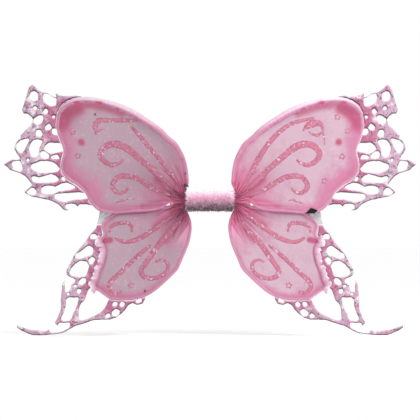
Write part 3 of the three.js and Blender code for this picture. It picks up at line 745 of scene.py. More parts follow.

# ---- Hems and padded rims ---------------------------------------------------------------------
# A bias-cut satin binding folded over the wire and stitched down all round. Along an upper lobe's
# leading edge it is stuffed with wadding to a fat, tucked roll. A painted highlight makes it almost
# white on its crest, and painted shade darkens its lower inner side, its puckers and its tucks.

RING_SIDES, HEM_FLAT = 28, 2.3
SEAM_SIDE = RING_SIDES * 3 // 4 - 5  # which point of each ring the row of stitches follows
HEM_STITCHES = (4.6, 3, 0.55)
SEAM_ENDS = 4  # rings at each end of a hem that are left unstitched
PUCKER_PITCH = 9.5
RIM_LUMPS = [(17, 3, 0.9), (6, 7, 0.4)]
PAINTED_SIDE_SHADE = {"right": 1.0, "left": 0.87}  # painted shade: the left wing's bindings, skins and glitter are made darker, as the side turned from the lamp
# How strong the painted highlight on the roll's crest is: [place in the list of edge corners, strength].
CREST_HIGHLIGHT = [(3, 0.1), (8, 0.3), (11, 0.75), (15, 1.0), (17, 0.9), (19, 0.5), (21, 0.45), (26, 0.5), (33, 0.45),
         (38, 0.2)]
# Where the roll is tucked in: [x, z, size].
TUCKS = [(187, 176, 3.2), (222, 190, 4.2), (212, 184, 2.2), (266, 190, 3.4), (247, 187, 2.6)]

satin = {}
for side, shade in PAINTED_SIDE_SHADE.items():
    satin[side], base = finish(f"{side}_satin_binding", Sheen_Weight=0.4, Sheen_Roughness=0.4)
    lustre, fine = base.cloud(90, 3), base.cloud(700, 4)
    crest, deep = base.mark("crest"), base.mark("deep")
    # The left wing's copy is darker: painted shade.
    lit = LIT / shade
    colour = (lustre.step(0.35, 0.7) * 0.7).between(dye(228, 156, 190, lit), dye(216, 130, 170, lit))
    # Deep pink: dye at the ends by the root, and painted shade on the roll's lower inner side, in its
    # puckers and in its tucks.
    colour = colour.over(dye(222, 88, 138, lit), (deep + (lustre - 0.5) * 0.5).step(0.25, 0.95))
    # Painted highlight: the crest is laid pale, then near white.
    colour = colour.over(dye(255, 214, 238, lit), (crest + (lustre - 0.5) * 0.6).step(0.15, 0.6) * 0.75)
    colour = colour.over(dye(255, 242, 252, lit), (crest + (fine - 0.5) * 0.5).step(0.6, 1.1))
    apply_to(base, Base_Color=colour, Roughness=lustre * 0.25 + 0.3,
             Normal=relief(fine, 0.35 * MM, 0.6, relief(lustre, 1.6 * MM, 0.5)))

for level, lobe in LOBES.items():
    turn = np.arange(RING_SIDES) * 2 * math.pi / RING_SIDES
    s, phi = np.meshgrid(lobe.run, turn, indexing="ij")
    radius, swell = lobe.radius[:, None], lobe.swell[:, None]
    inner_side = np.clip(-np.cos(phi) * 0.6 + 0.5, 0, 1)
    uneven = lumps(lobe.inset(0) @ [[1, 0, 0], [0, 0, 1]], 24)[:, None] * 3
    pucker = np.sin(2 * math.pi * s / PUCKER_PITCH + 2.2 * np.sin(s / 31) + uneven) * inner_side
    middle = lobe.inset(lobe.radius)
    rear = -(radius - HEM_RADIUS)
    flat = HEM_FLAT + (radius - HEM_FLAT) * np.sqrt(swell)
    probe = np.stack([(middle[:, :1] - lobe.inward[:, :1] * radius * np.cos(phi)).ravel(),
                      (rear + radius * np.sin(phi)).ravel(),
                      (middle[:, 1:] - lobe.inward[:, 1:] * radius * np.cos(phi)).ravel()], 1)
    lumpy = layered_lumps(probe, RIM_LUMPS).reshape(phi.shape)
    squash_out = 1 + lumpy * (0.02 + 0.1 * swell) + pucker * (0.03 + 0.04 * swell)
    x = middle[:, :1] - lobe.inward[:, :1] * radius * np.cos(phi) * squash_out
    z = middle[:, 1:] - lobe.inward[:, 1:] * radius * np.cos(phi) * squash_out
    y = rear + np.where(phi < math.pi, radius, flat * squash_out) * np.sin(phi)
    outer_zone = (lobe.order > 6) & (lobe.order < 24)
    pale = np.interp(lobe.order, *np.array(CREST_HIGHLIGHT).T) if level == "upper" else 0.3 + 0.15 * outer_zone
    width = 0.35 + 0.5 * swell if level == "upper" else 0.6
    # The painted highlight runs along the outer side of each ring.
    crest = np.clip((np.cos(phi) - 1 + width + 0.5) / 0.5, 0, 1) * pale[:, None]
    # Painted shade on each ring's lower inner side and in the puckers; deep pink dye at the hem's ends by
    # the root.
    inner_low = np.clip(-np.cos(phi) * 0.9 + 0.1, 0, 1)
    deep = inner_low * (0.3 + 0.15 * swell) + np.exp(-((s / 26) ** 2)) * 0.8
    deep += np.exp(-(((lobe.run[-1] - s) / 60) ** 2)) * 0.8 + np.clip(pucker, 0, 1) * 0.25 * swell
    if level == "upper":
        for tx, tz, size in TUCKS:
            tuck = np.exp(-(((x - tx) / 2 / size) ** 2 + ((z - tz) / size) ** 2))
            # A tuck gets painted shade and loses the painted highlight.
            deep, crest, y = np.maximum(deep, tuck * 1.4), crest * (1 - tuck), y + tuck * 1.6
    for side in SIDES:
        points = lobe.row_frame(side, x.ravel(), y.ravel(), z.ravel())
        hem = new_mesh(f"{side}_{level}_binding", points, capped_faces(len(lobe.line), RING_SIDES))
        note(hem, crest=crest.ravel().clip(0, 1), deep=deep.ravel().clip(0, 1))
        finished(hem, satin[side], f"{side}_{BODY[level]}", "satin", f"{side}_{level}_hem")
        rows = points.reshape(len(lobe.line), RING_SIDES, 3)[SEAM_ENDS:-SEAM_ENDS]
        seam = rows[:, SEAM_SIDE]
        out = seam - rows.mean(1)
        out /= np.linalg.norm(out, axis=1, keepdims=True)
        pitch, length, thick = np.array(HEM_STITCHES) * MM
        row = stitches(f"{side}_{level}_stitches", seam, out, pitch, length, thick)
        finished(row, thread, f"{side}_{BODY[level]}", "satin")

# ---- Panels -----------------------------------------------------------------------------------
# Two skins of thin nylon sewn into the hem and gathered hard at the root, where they pleat. The
# middle is left pale, and pink and deep pink are airbrushed in from the edges and the root.

PANEL_HALF = 0.5
MIDDLE = {"upper": (90, 45), "lower": (90, -70)}
ROOT = {"upper": (44, -4), "lower": (44, -12)}
PLEATS = {"upper": 15, "lower": 13}
RINGS = 84
# How wide the airbrushed edge is: [place in the list of edge corners, millimetres].
BLUSH = {
    "upper": [(0, 40), (3, 26), (8, 16), (13, 14), (16, 22), (19, 50), (23, 46), (26, 36), (29, 48),
              (34, 60), (38, 46), (41, 22), (44, 26), (46, 46)],
    "lower": [(0, 40), (3, 22), (5, 12), (8, 11), (14, 7), (20, 14), (24, 22), (28, 20), (32, 11),
              (36, 7), (40, 9), (42, 30)]}
# Airbrushed strokes: [points, width, strength].
STROKES = {
    "upper": [([(176, 168), (206, 179), (240, 185), (266, 183), (284, 172), (293, 152)], 11, 0.62),
              ([(262, 180), (284, 167), (295, 146)], 17, 0.85),
              ([(257, 111), (257, 112)], 8, 0.9), ([(293, 70), (276, 44), (250, 16)], 14, 0.35),
              ([(50, 0), (74, 14), (104, 38)], 11, 0.85), ([(48, 14), (56, 34), (68, 62)], 8, 0.35),
              ([(50, -2), (90, -4), (136, -16)], 8, 0.5)],
    "lower": [([(212, -86), (200, -84)], 7, 1.0), ([(222, -178), (180, -192)], 16, 0.35),
              ([(50, -16), (78, -34), (110, -56)], 9, 0.6), ([(48, -24), (66, -56), (88, -86)], 10, 0.55),
              ([(207, -52), (196, -46)], 9, 0.3), ([(118, -84), (140, -112), (128, -140)], 10, 0.22)]}
# Folds drawn in from the root: [from, to, depth, width].
CREASES = {
    "upper": [((49, 2), (98, 60), 2.2, 2.0), ((48, -3), (108, 36), 2.4, 2.2),
              ((47, -6), (112, 12), 2.2, 1.8), ((50, 10), (70, 70), 1.4, 1.8),
              ((60, -8), (200, -24), 1.2, 2.0), ((84, 118), (180, 170), 0.9, 2.2),
              ((110, 60), (176, 98), 1.0, 3.0)],
    "lower": [((50, -13), (112, -32), 2.0, 2.0), ((48, -17), (92, -58), 2.4, 2.2),
              ((48, -22), (76, -84), 2.2, 2.0), ((60, -30), (104, -84), 1.2, 2.4),
              ((46, -28), (60, -70), 1.4, 1.8), ((84, -150), (140, -192), 0.9, 2.0),
              ((110, -22), (200, -36), 0.9, 2.0)]}
PLEAT_HEIGHT, PLEAT_REACH = 1.3, 52
SKIN_LUMPS = [(46, 1, 1.7), (15, 5, 0.5)]
BILLOW_HEIGHT, BILLOW_WIDTH = 2.2, 42  # the skin stands proud all round, where it goes over the hem


def beside(x, z, start, end):
    """How far along a line each point is, as a share of its length, and how far to its right."""
    (ax, az), (bx, bz) = start, end
    long = math.hypot(bx - ax, bz - az)
    share = ((x - ax) * (bx - ax) + (z - az) * (bz - az)) / long ** 2
    return share, ((x - ax) * (bz - az) - (z - az) * (bx - ax)) / long


def rise(lobe, x, z):
    """How far the panel's skin stands forward of its flat layer, in millimetres, and its folds, 0 to 1."""
    edge, order = lobe.from_edge(x, z)
    root = ROOT[lobe.level]
    reach, turn = np.hypot(x - root[0], z - root[1]), np.arctan2(z - root[1], x - root[0])
    count = PLEATS[lobe.level]
    pleat = np.sin(turn * count * 2 + 1.4 * np.sin(turn * 5)) + 0.55 * np.sin(turn * count * 3.7 + 2)
    hold = np.clip(edge / 9, 0, 1)
    fade = np.exp(-((reach / PLEAT_REACH) ** 1.4))
    height = PLEAT_HEIGHT * pleat * fade * hold
    probe = np.stack([x, np.zeros(len(x)), z], 1)
    height += layered_lumps(probe, SKIN_LUMPS) * hold
    radial = np.stack([turn * 60, np.zeros(len(x)), reach / 5], 1)
    height += lumps(radial, 6, 9) * 0.9 * np.exp(-((reach / 130) ** 2)) * hold
    fold = np.clip(-pleat - 0.2, 0, 1) * 0.7 * fade
    for start, end, deep, wide in CREASES[lobe.level]:
        t, off = beside(x, z, start, end)
        off += 2.5 * np.sin(t * 5 + start[0])
        spent = np.exp(-((np.clip(np.abs(t - 0.42) - 0.42, 0, 9) * 6) ** 2)) * (1 - 0.5 * t.clip(0, 1))
        height -= deep * np.exp(-((off / wide) ** 2)) * spent * hold
        height += deep * 0.4 * np.exp(-(((off - 1.8 * wide) / wide) ** 2)) * spent * hold
        fold = np.maximum(fold, deep / 2.4 * np.exp(-((off / wide / 0.8) ** 2)) * spent)
    billow = 1 - np.clip(edge / BILLOW_WIDTH, 0, 1)
    height += BILLOW_HEIGHT * billow * billow * (3 - 2 * billow) * np.clip(edge / 12, 0.35, 1)
    swell = np.interp(order, lobe.order, lobe.swell)
    height += 5.4 * swell * np.exp(-((np.maximum(edge - 11.5, 0) / 9) ** 2))
    return height, fold * hold


def nearest(x, z, stroke):
    """How far each point is from a stroke's line."""
    line = smooth_line(stroke, 2.0)[0]
    return np.min(np.hypot(x[:, None] - line[None, :, 0], z[:, None] - line[None, :, 1]), 1)


DEEP_REACH, FLUSH_REACH, SHADE_REACH = 44, 58, {"upper": 104, "lower": 74}
WEDGE, WEDGE_WIDE = {"upper": 0.5, "lower": -0.95}, 0.36  # the fan of folds' middle and width, in radians
SHADED_CORNER, SHADED_CORNER_WIDE = (284, 168), 26
FLAP = [(38, -46), (76, -98)]  # the line along which a lower lobe's inner side is folded back
FLAP_MIDDLE, FLAP_HALF, FLAP_SUNK = -62, 30, 0.8
# The left wing's middle colour is darker: painted shade for the side turned from the lamp.
MID = {"right": (224, 188, 206), "left": (206, 174, 190)}
FLUSH = {"right": 0.6, "left": 0.25}  # how bright the pink beside the folds is; sprayed pink, and the right wing's stronger share is painted light, on the side facing the lamp
SHADE_STRENGTH = {"right": 0.32, "left": 0.78}  # how strong the painted shade round each wing's root is; stronger on the left wing, which is turned from the lamp


def root_reach(level, x, z):
    """How far a place is from the point the lobe is gathered at."""
    return np.hypot(x - ROOT[level][0], z - ROOT[level][1])


def deep_at(level, x, z):
    """How much deep pink was sprayed on a place, from the root outwards."""
    return np.exp(-((root_reach(level, x, z) / DEEP_REACH) ** 2))


def wedge_at(level, x, z):
    """1 in the fan of folds that runs out from the root, and 0 well above and below it."""
    turn = np.arctan2(z - ROOT[level][1], np.maximum(x - ROOT[level][0], 1))
    return np.exp(-(((turn - WEDGE[level]) / WEDGE_WIDE) ** 2))


def flush_at(level, x, z):
    """How much bright pink a place gets, above and below the fan of folds: sprayed pink, made stronger on
    the right wing as painted light.
    """
    return np.exp(-((root_reach(level, x, z) / FLUSH_REACH) ** 2)) * (1 - wedge_at(level, x, z))


def painted_shade_at(level, x, z):
    """How much painted shade, in the darkest colour, a place gets round the root and at an upper lobe's
    corner.
    """
    from_corner = np.hypot(x - SHADED_CORNER[0], z - SHADED_CORNER[1])
    spread_out = 0.55 + 0.45 * wedge_at(level, x, z)
    round_root = np.exp(-((root_reach(level, x, z) / SHADE_REACH[level]) ** 1.6)) * spread_out
    return np.maximum(round_root, 0.45 * np.exp(-((from_corner / SHADED_CORNER_WIDE) ** 2)))


nylon = {}
for side, shade in PAINTED_SIDE_SHADE.items():
    nylon[side], base = finish(f"{side}_airbrushed_nylon", Sheen_Weight=0.3, Sheen_Roughness=0.4)
    drift, mottle = base.cloud(38, 4), base.cloud(210, 5)
    threads = base.cloud(1500, 3, (1, 1, 0.3))
    blush, deep, fold = base.mark("blush"), base.mark("deep"), base.mark("fold")
    # The left wing's copy is darker: painted shade.
    lit = LIT / shade
    colour = (drift.step(0.4, 0.68) * 0.5).between(dye(*MID[side], lit), dye(214, 168, 190, lit))
    colour = colour.over(dye(240, 212, 224, lit), (mottle + (drift - 0.5) * 0.4).step(0.5, 0.8) * 0.5)
    streak = base.cloud(100, 5, (1, 1, 0.6))
    soft = (blush + (streak - 0.5) * 0.55 + (drift - 0.5) * 0.45).step(0.05, 0.85)
    colour = colour.over(dye(220, 132, 172, lit), soft * 0.95)
    patchy = deep + (mottle - 0.5) * 0.2 + (drift - 0.5) * 0.3
    colour = colour.over(dye(206, 90, 130, lit), patchy.step(0.1, 0.85))
    # Painted shade round the root and at the upper lobe's corner, stronger on the left wing.
    colour = colour.over(dye(142, 56, 90, lit), base.mark("dusk") * SHADE_STRENGTH[side])
    # Painted highlight on the lower lobe's folded-back flap.
    colour = colour.over(dye(246, 176, 208, lit), base.mark("flap") * 0.75)
    # Bright pink beside the folds: sprayed pink, stronger on the right wing as painted light.
    colour = colour.over(dye(248, 116, 162, lit), base.mark("flush") * FLUSH[side])
    colour = colour.over(dye(238, 150, 190, lit), (drift - 0.3 + mottle * 0.2).step(0.3, 0.6) * soft * 0.4)
    # Painted shade in the pleats and creases.
    colour = colour.over(dye(158, 54, 92, lit), (fold + (mottle - 0.5) * 0.15).step(0.18, 0.8) * 0.85)
    colour = colour.over(dye(252, 226, 238, lit), threads.step(0.6, 0.8) * 0.16)
    apply_to(base, Base_Color=colour, Roughness=mottle * 0.2 + 0.42,
             Normal=relief(threads, 0.12 * MM, 0.5, relief(mottle, 0.9 * MM, 0.55)))

for level, lobe in LOBES.items():
    edge_line = lobe.inset(lobe.radius * 1.35)
    closing = np.linspace(edge_line[-1], edge_line[0], 22)[1:-1]
    rim = np.vstack([edge_line, closing])
    middle = np.array(MIDDLE[level])
    share = (np.arange(1, RINGS + 1) / RINGS) ** 0.85
    flat = np.vstack([middle[None], (middle + (rim[None] - middle) * share[:, None, None]).reshape(-1, 2)])
    x, z = flat[:, 0], flat[:, 1]
    height, fold = rise(lobe, x, z)
    edge, order = lobe.from_edge(x, z)
    width = np.interp(order, *np.array(BLUSH[level]).T)
    blush = np.clip(1 - (edge - lobe.radius.min()) / width, 0, 1) ** 1.1
    deep = deep_at(level, x, z)
    blush = np.maximum(blush, np.exp(-((root_reach(level, x, z) / 84) ** 2)))
    for stroke, wide, strength in STROKES[level]:
        deep = np.maximum(deep, strength * np.exp(-((nearest(x, z, stroke) / wide) ** 2)))
    along_flap = np.exp(-(((z - FLAP_MIDDLE) / FLAP_HALF) ** 4)) * (level == "lower")
    flap = np.clip(beside(x, z, *FLAP)[1] / 1.5, 0, 1) * along_flap
    height -= FLAP_SUNK * flap * np.clip(edge / 9, 0, 1)
    columns, count = len(rim), len(flat)
    fan = [[0, 1 + k, 1 + (k + 1) % columns] for k in range(columns)]
    skin = fan + grid_faces(RINGS, columns, True, 1)
    back = [[count + p for p in face] for face in skin]
    first = 1 + (RINGS - 1) * columns
    wall = [[first + k, first + (k + 1) % columns, count + first + (k + 1) % columns, count + first + k]
            for k in range(columns)]
    near = np.minimum(1, edge / 4)
    front_y = -PANEL_HALF * near - height - 0.05
    back_y = PANEL_HALF * near - height * 0.85 + 0.05
    low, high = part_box(f"right_{level}_panel")
    for side in SIDES:
        points = np.vstack([lobe.row_frame(side, x, front_y, z), lobe.row_frame(side, x, back_y, z)])
        panel = new_mesh(f"{side}_{level}_nylon", points, skin + back + wall)
        note(panel, blush=np.tile(blush, 2), deep=np.tile(deep, 2), fold=np.tile(fold, 2),
             dusk=np.tile(painted_shade_at(level, x, z) * (1 - flap), 2), flap=np.tile(flap, 2),
             flush=np.tile(flush_at(level, x, z) * (1 - flap), 2))
        finished(panel, nylon[side], f"{side}_{BODY[level]}", "nylon", f"{side}_{level}_panel")

# ---- Gathered collars -------------------------------------------------------------------------
# A strip of the same nylon run up on a thread and drawn tight over the root of each lobe, dyed deep
# pink. It hides the tape and the hems' ends, and its pleats open out on to the panel.

COLLAR_ROWS, COLLAR_COLUMNS, COLLAR_HALF, COLLAR_DEPTH = 22, 150, 0.3, 0.03
COLLAR_PLEAT, COLLAR_CRIMP, COLLAR_CLEAR = 2.4, 0.5, 0.35
# The drawn-up end, the open end, how many pleats, and how far forward of its layer the drawn end is.
COLLARS = {
    "upper": ([(50.2, 9), (50, 3), (50, -3), (50.2, -9.5)],
              [(43.4, 22), (48, 31), (58, 33), (69, 27), (76, 16), (79, 5), (77, -5), (71, -12.6)], 10, 3.0),
    "lower": ([(50.2, -8), (50, -10.5), (50, -14), (50.6, -18)],
              [(70, -9.6), (77, -17), (79, -27), (74, -38), (64, -47), (52, -47), (41.6, -35)], 9, 7.8)}


def spread(corners, count):
    """A curve through corners, as a given number of points at even steps."""
    line, _, run = smooth_line(corners, 1.0)
    return read_at(np.linspace(0, run[-1], count), run, line)


def sheet_faces(rows, columns):
    """The faces of a closed sheet between two grids of points, the front one first."""
    count = rows * columns
    border = list(range(columns)) + [r * columns + columns - 1 for r in range(1, rows)]
    border += [(rows - 1) * columns + k for k in range(columns - 2, -1, -1)]
    border += [r * columns for r in range(rows - 2, 0, -1)]
    edge = [[a, b, count + b, count + a] for a, b in zip(border, border[1:] + border[:1])]
    return grid_faces(rows, columns) + grid_faces(rows, columns, False, count) + edge


def thin_sheet(name, lobe, side, x, y, z, half, shape):
    """A closed sheet on a lobe, half its thickness each side of a grid of points."""
    skins = [lobe.row_frame(side, x, y + step, z) for step in (-half, half)]
    return new_mesh(name, np.vstack(skins), sheet_faces(*shape))


for level, lobe in LOBES.items():
    drawn, opened, count, forward = COLLARS[level]
    drawn, opened = spread(drawn, COLLAR_COLUMNS), spread(opened, COLLAR_COLUMNS)
    out = np.linspace(0, 1, COLLAR_ROWS)[:, None]
    across = np.linspace(0, 1, COLLAR_COLUMNS)[None]
    flat = drawn[None] + (opened - drawn)[None] * out[..., None]
    x, z = flat[..., 0].ravel(), flat[..., 1].ravel()
    height, _ = rise(lobe, x, z)
    edge, _ = lobe.from_edge(x, z)
    on_hem = np.sqrt(np.clip(HEM_RADIUS ** 2 - (HEM_RADIUS - edge) ** 2, 0, None)) / HEM_RADIUS * HEM_FLAT
    under = np.maximum(np.where(edge < 2 * HEM_RADIUS, on_hem, 0), PANEL_HALF + height)
    under = under.reshape(flat.shape[:2])
    phase = 2 * math.pi * count * across + 1.2 * np.sin(9 * across + 1) + 0.5 * out
    pleat = (0.5 + 0.5 * np.sin(phase)) ** 0.7
    fine = 0.5 + 0.5 * np.sin(2.7 * phase + 2)
    fall = np.clip(1 - out * 1.6, 0, 1) ** 1.5 if level == "lower" else np.clip(1 - out * 1.3, 0, 1)
    cover = under + (forward - under).clip(0, None) * fall
    standing = np.sin(math.pi * (out * 0.88 + 0.06)) ** 0.8 * (1 - 0.55 * out)
    y = -(cover + COLLAR_CLEAR + (COLLAR_PLEAT * pleat + COLLAR_CRIMP * fine) * standing)
    # The pleats' hollows are marked for painted shade.
    fold = (1 - pleat) * (1 - 0.45 * out) * np.clip(out * 3 + 0.4, 0, 1)
    y, ones, deep = y.ravel(), np.ones(2 * len(x)), deep_at(level, x, z)
    for side in SIDES:
        collar = thin_sheet(f"{side}_{level}_collar", lobe, side, x, y, z, COLLAR_HALF,
                            (COLLAR_ROWS, COLLAR_COLUMNS))
        # Painted shade round the root, a little stronger than on the skin.
        note(collar, blush=ones, deep=np.tile(deep, 2), fold=np.tile(fold.ravel(), 2),
             dusk=np.tile(painted_shade_at(level, x, z) * 1.1, 2).clip(0, 1), flap=0 * ones,
             flush=np.tile(flush_at(level, x, z), 2))
        finished(collar, nylon[side], f"{side}_{BODY[level]}", "nylon")

# ---- Lace -------------------------------------------------------------------------------------
# Stiffened open lace, lumpy and branching like coral, sewn on round the outer edge of each lobe.
# Pink where it leaves the hem, then white, lilac and grey, with dark glass beads caught in it.

STRAND_HALF = 4.2  # how far in from its sides a strand is fully rounded up
THINNED = 0.7  # how much narrower on each side the stiffened strands have shrunk
LACE_VOXEL, LACE_LUMPS, PIT_DEPTH = 1.25, [(6 * MM, 2, 0.5), (15 * MM, 8, 0.5)], 0.45
BEADS, BEAD_RADIUS = 60, 1.15
BALL_RINGS, BALL_SIDES = 5, 10

lace_finish, base = finish("stiff_lace", Roughness=0.6, Sheen_Weight=0.3)
patch, speck = base.cloud(48, 4), base.cloud(330, 4)
near, upward, pit = base.mark("near"), base.mark("upward"), base.mark("pit")
inner = (near + (patch - 0.5) * 1.3).step(0.25, 0.8)
colour = inner.between(dye(216, 176, 202), dye(200, 108, 150))
colour = colour.over(dye(252, 240, 250), base.cloud(66, 4).step(0.5, 0.64) * (1 - inner * 0.75))
colour = colour.over(dye(138, 116, 140), base.cloud(80, 4).step(0.54, 0.66) * (1 - inner * 0.6) * 0.8)
colour = colour.over(dye(230, 104, 154), base.cloud(58, 2, (1.3, 1, 1)).step(0.58, 0.68) * 0.6)
# Painted highlight on the strands' upper sides.
colour = colour.over(dye(255, 214, 234), (upward + (speck - 0.5) * 0.9).step(0.2, 0.8) * 0.6)
# Painted shade in the pits.
colour = colour.over(dye(138, 70, 104), (pit + (speck - 0.5) * 0.6).step(0.35, 1.0) * 0.75)
# Painted shade on the strands' undersides.
colour = colour.over(dye(88, 44, 68), ((speck - 0.5) * 0.9 - upward).step(0.08, 0.6) * 0.9)
apply_to(base, Base_Color=colour, Normal=relief(speck, 0.9 * MM, 0.6))

glass, base = finish("dark_glass_bead", Roughness=0.12, Coat_Weight=0.6)
colour = base.cloud(900).step(0.5, 0.7).between(dye(66, 40, 58), dye(150, 110, 150))
apply_to(base, Base_Color=colour)

draw = np.random.default_rng(29)
BALL = np.array([(math.cos(b) * math.cos(a), math.cos(b) * math.sin(a), math.sin(b))
                 for b in np.linspace(-math.pi / 2, math.pi / 2, BALL_RINGS + 2)[1:-1]
                 for a in np.arange(BALL_SIDES) * 2 * math.pi / BALL_SIDES] + [(0, 0, -1), (0, 0, 1)])


def ball_faces(first=0):
    """The faces of a ball, whose points start at this one."""
    faces = grid_faces(BALL_RINGS, BALL_SIDES, True, first)
    poles = first + BALL_RINGS * BALL_SIDES
    for ring, pole in ((first, poles), (poles - BALL_SIDES, poles + 1)):
        faces += [[ring + k, ring + (k + 1) % BALL_SIDES, pole] for k in range(BALL_SIDES)]
    return faces


def beads(name, centres, radii):
    """Small glass balls, in one mesh."""
    points = np.vstack([centre + radius * BALL for centre, radius in zip(centres, radii)])
    faces = [face for k in range(len(centres)) for face in ball_faces(k * len(BALL))]
    return new_mesh(name, points, faces)


def nearest_side(at, out):
    """How far each point is from the nearest side of its strand, and how far that side is below it."""
    sides = np.flatnonzero(np.abs(out[:, 1]) < 0.4)
    walls = kdtree.KDTree(len(sides))
    for k in sides:
        walls.insert((at[k, 0], 0, at[k, 2]), int(k))
    walls.balance()
    found = [walls.find((x, 0, z)) for x, _, z in at]
    return np.array([(away, z - side[2]) for (side, _, away), z in zip(found, at[:, 2])]).T


for level, lobe in LOBES.items():
    for side, sign in SIDES.items():
        lace = remeshed(f"{side}_{level}_lace_trim", f"{side}_{level}_lace", LACE_VOXEL * MM, 3)
        at, out = points_of(lace.data), normals_of(lace.data)
        x, z = at[:, 0] / MM * sign, at[:, 2] / MM
        layer = (LAYER[level] - bow(x, z)) * MM
        away, below = nearest_side(at, out)
        round_up = np.clip(away / MM / STRAND_HALF, 0, 1)
        lean = below / np.maximum(away, 0.3 * MM) * (1 - round_up)
        round_up = np.sqrt(1 - (1 - round_up) ** 2)
        mirrored = at * (sign, 1, 1)
        swell = layered_lumps(mirrored, LACE_LUMPS) - THINNED
        at[:, 1] = layer + (at[:, 1] - layer) * (0.4 + 1.15 * round_up)
        at += out * (1, 0.4, 1) * (swell * MM)[:, None]
        wrinkle = np.abs(lumps(mirrored * (1, 1, 1.5), 5 * MM, 12))
        pit = np.clip(1 - wrinkle / 0.11, 0, 1)
        at -= out * (pit * PIT_DEPTH * MM)[:, None]
        put_points(lace.data, at)
        out = normals_of(lace.data)
        edge, _ = lobe.from_edge(x, z)
        near = np.clip(1.1 - edge / 44, 0, 1)
        if level == "upper":
            near *= np.clip((204 - z) / 16, 0.1, 1)
        # upward is high on the strands' upper sides, for painted highlight, and low under them, for painted
        # shade.
        note(lace, near=near, pit=pit, upward=out[:, 2] * 0.6 - lean * 0.8)
        finished(lace, lace_finish, f"{side}_{BODY[level]}", "lace", f"{side}_{level}_lace")
        facing = np.flatnonzero(out[:, 1] < -0.75)
        chosen = draw.choice(facing, BEADS, replace=False)
        sizes = BEAD_RADIUS * MM * draw.uniform(0.6, 1.1, BEADS)
        centres = at[chosen] + out[chosen] * (sizes * 0.3)[:, None]
        finished(beads(f"{side}_{level}_beads", centres, sizes), glass, f"{side}_{BODY[level]}", "lace")

# ---- Notch gussets ----------------------------------------------------------------------------
# A scrap of pale grey organza that closes the notch between the two lobes of a side. It is sewn to
# the lower lobe, and its free edge ripples.

RIPPLE, RIPPLE_FROM, RIPPLE_WIDE = 0.7, -0.05, 0.02
organza, base = finish("grey_organza", Roughness=0.5, Sheen_Weight=0.5)
mesh_weave = base.node("TexWave", {"bands_direction": "DIAGONAL"}, {"Vector": base.place(), "Scale": 600})
colour = base.cloud(120).step(0.4, 0.7).between(dye(216, 220, 218), dye(190, 194, 192))
colour = colour.over(dye(242, 242, 244), mesh_weave * 0.4)
apply_to(base, Base_Color=colour, Normal=relief(mesh_weave, 0.1 * MM))
for side, sign in SIDES.items():
    scrap = remeshed(f"{side}_lower_organza", f"{side}_lower_gusset", 0.8 * MM, 3)
    at = points_of(scrap.data)
    ripple = np.sin(at[:, 2] / MM * 0.7 + at[:, 0] * sign / MM * 0.5)
    at[:, 1] += RIPPLE * MM * ripple * np.clip((at[:, 2] - RIPPLE_FROM) / RIPPLE_WIDE, 0, 1)
    put_points(scrap.data, at)
    finished(scrap, organza, f"{side}_lower_lobe", "organza", f"{side}_lower_gusset")
    low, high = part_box(f"{side}_lower_gusset")

# ---- Glitter scrolls, stars and dashes --------------------------------------------------------
# Ribbons of dusty-rose glitter, poured a little domed on to the front skin. Their edges are a
# darker red where the glue has soaked in. Lilac flakes lie along them, the brightest painted
# near white as glints, and round the root they take painted shade.

# Each ribbon's line and its widths along it; None where a left one is its right twin.
SCROLLS = {
    ("right", "upper"): {
        "scroll_long": ([(66, 20), (82, 50), (92, 70), (103, 88), (113, 103), (125, 118), (140, 133),
                         (155, 144), (170, 151), (190, 156), (209, 160)], [4, 10, 11, 10, 9, 8, 5]),
        "scroll_middle": ([(72, 14), (90, 30), (105, 45), (120, 60), (135, 73), (150, 86), (162, 96),
                           (175, 104), (190, 108), (205, 105), (215, 97), (219, 88), (215, 77), (206, 70),
                           (196, 66), (186, 68), (178, 72), (174, 77)],
                          [5, 10, 11, 11, 12, 14, 14, 12, 11, 9, 4]),
        "scroll_short": ([(80, 5), (105, 15), (120, 24), (135, 33), (150, 41), (165, 44), (180, 43),
                          (190, 36), (195, 25), (190, 14), (180, 10), (170, 13), (163, 20)],
                         [4, 9, 10, 10, 11, 11, 11, 10, 8, 4]),
        "hook": ([(186, 134), (196, 144), (208, 149), (219, 149), (224, 143), (226, 131), (228, 118),
                  (229, 106)], [3, 12, 15, 12, 5, 3.5, 3, 2.5])},
    ("left", "upper"): {
        "scroll_long": ([(66, 30), (78, 48), (95, 70), (107, 85), (120, 100), (138, 121), (157, 143)],
                        [4, 8, 9, 9, 9, 8, 6]),
        "scroll_middle": None, "scroll_short": None,
        "hook": ([(140, 155), (158, 155), (180, 155), (205, 155), (222, 154), (229, 147), (229, 138),
                  (227, 127)], [3, 7, 8, 8, 8, 11, 10, 4])},
    ("right", "lower"): {
        "scroll_long": ([(66, -34), (80, -40), (95, -51), (110, -61), (125, -71), (140, -80), (155, -86),
                         (170, -88), (181, -85), (190, -79)], [5, 8, 9, 9, 10, 9, 8, 5]),
        "scroll_middle": ([(60, -46), (80, -68), (95, -84), (108, -101), (120, -118), (131, -134),
                           (138, -146), (133, -157), (118, -161), (102, -158), (89, -149), (84, -136),
                           (89, -127), (99, -124), (109, -128)], [5, 11, 12, 11, 10, 10, 9, 8, 7, 4]),
        "branch": ([(118, -94), (133, -106), (150, -121), (165, -135), (180, -150), (194, -162),
                    (202, -174), (199, -184), (189, -190), (178, -187)], [4, 8, 9, 9, 9, 9, 8, 5]),
        "crescent": ([(157, -68), (157, -57), (165, -50), (178, -50), (191, -53), (200, -60),
                      (201, -69)], [4, 7, 8, 8, 7, 4])},
    ("left", "lower"): {"scroll_long": None, "scroll_middle": None, "branch": None, "crescent": None}}
STARS = {("right", "upper"): [(255, 162), (275, 134), (264, 83), (229, 34)],
         ("left", "upper"): [(274, 132), (264, 84)],
         ("right", "lower"): [(158, -175)], ("left", "lower"): [(158, -175)]}
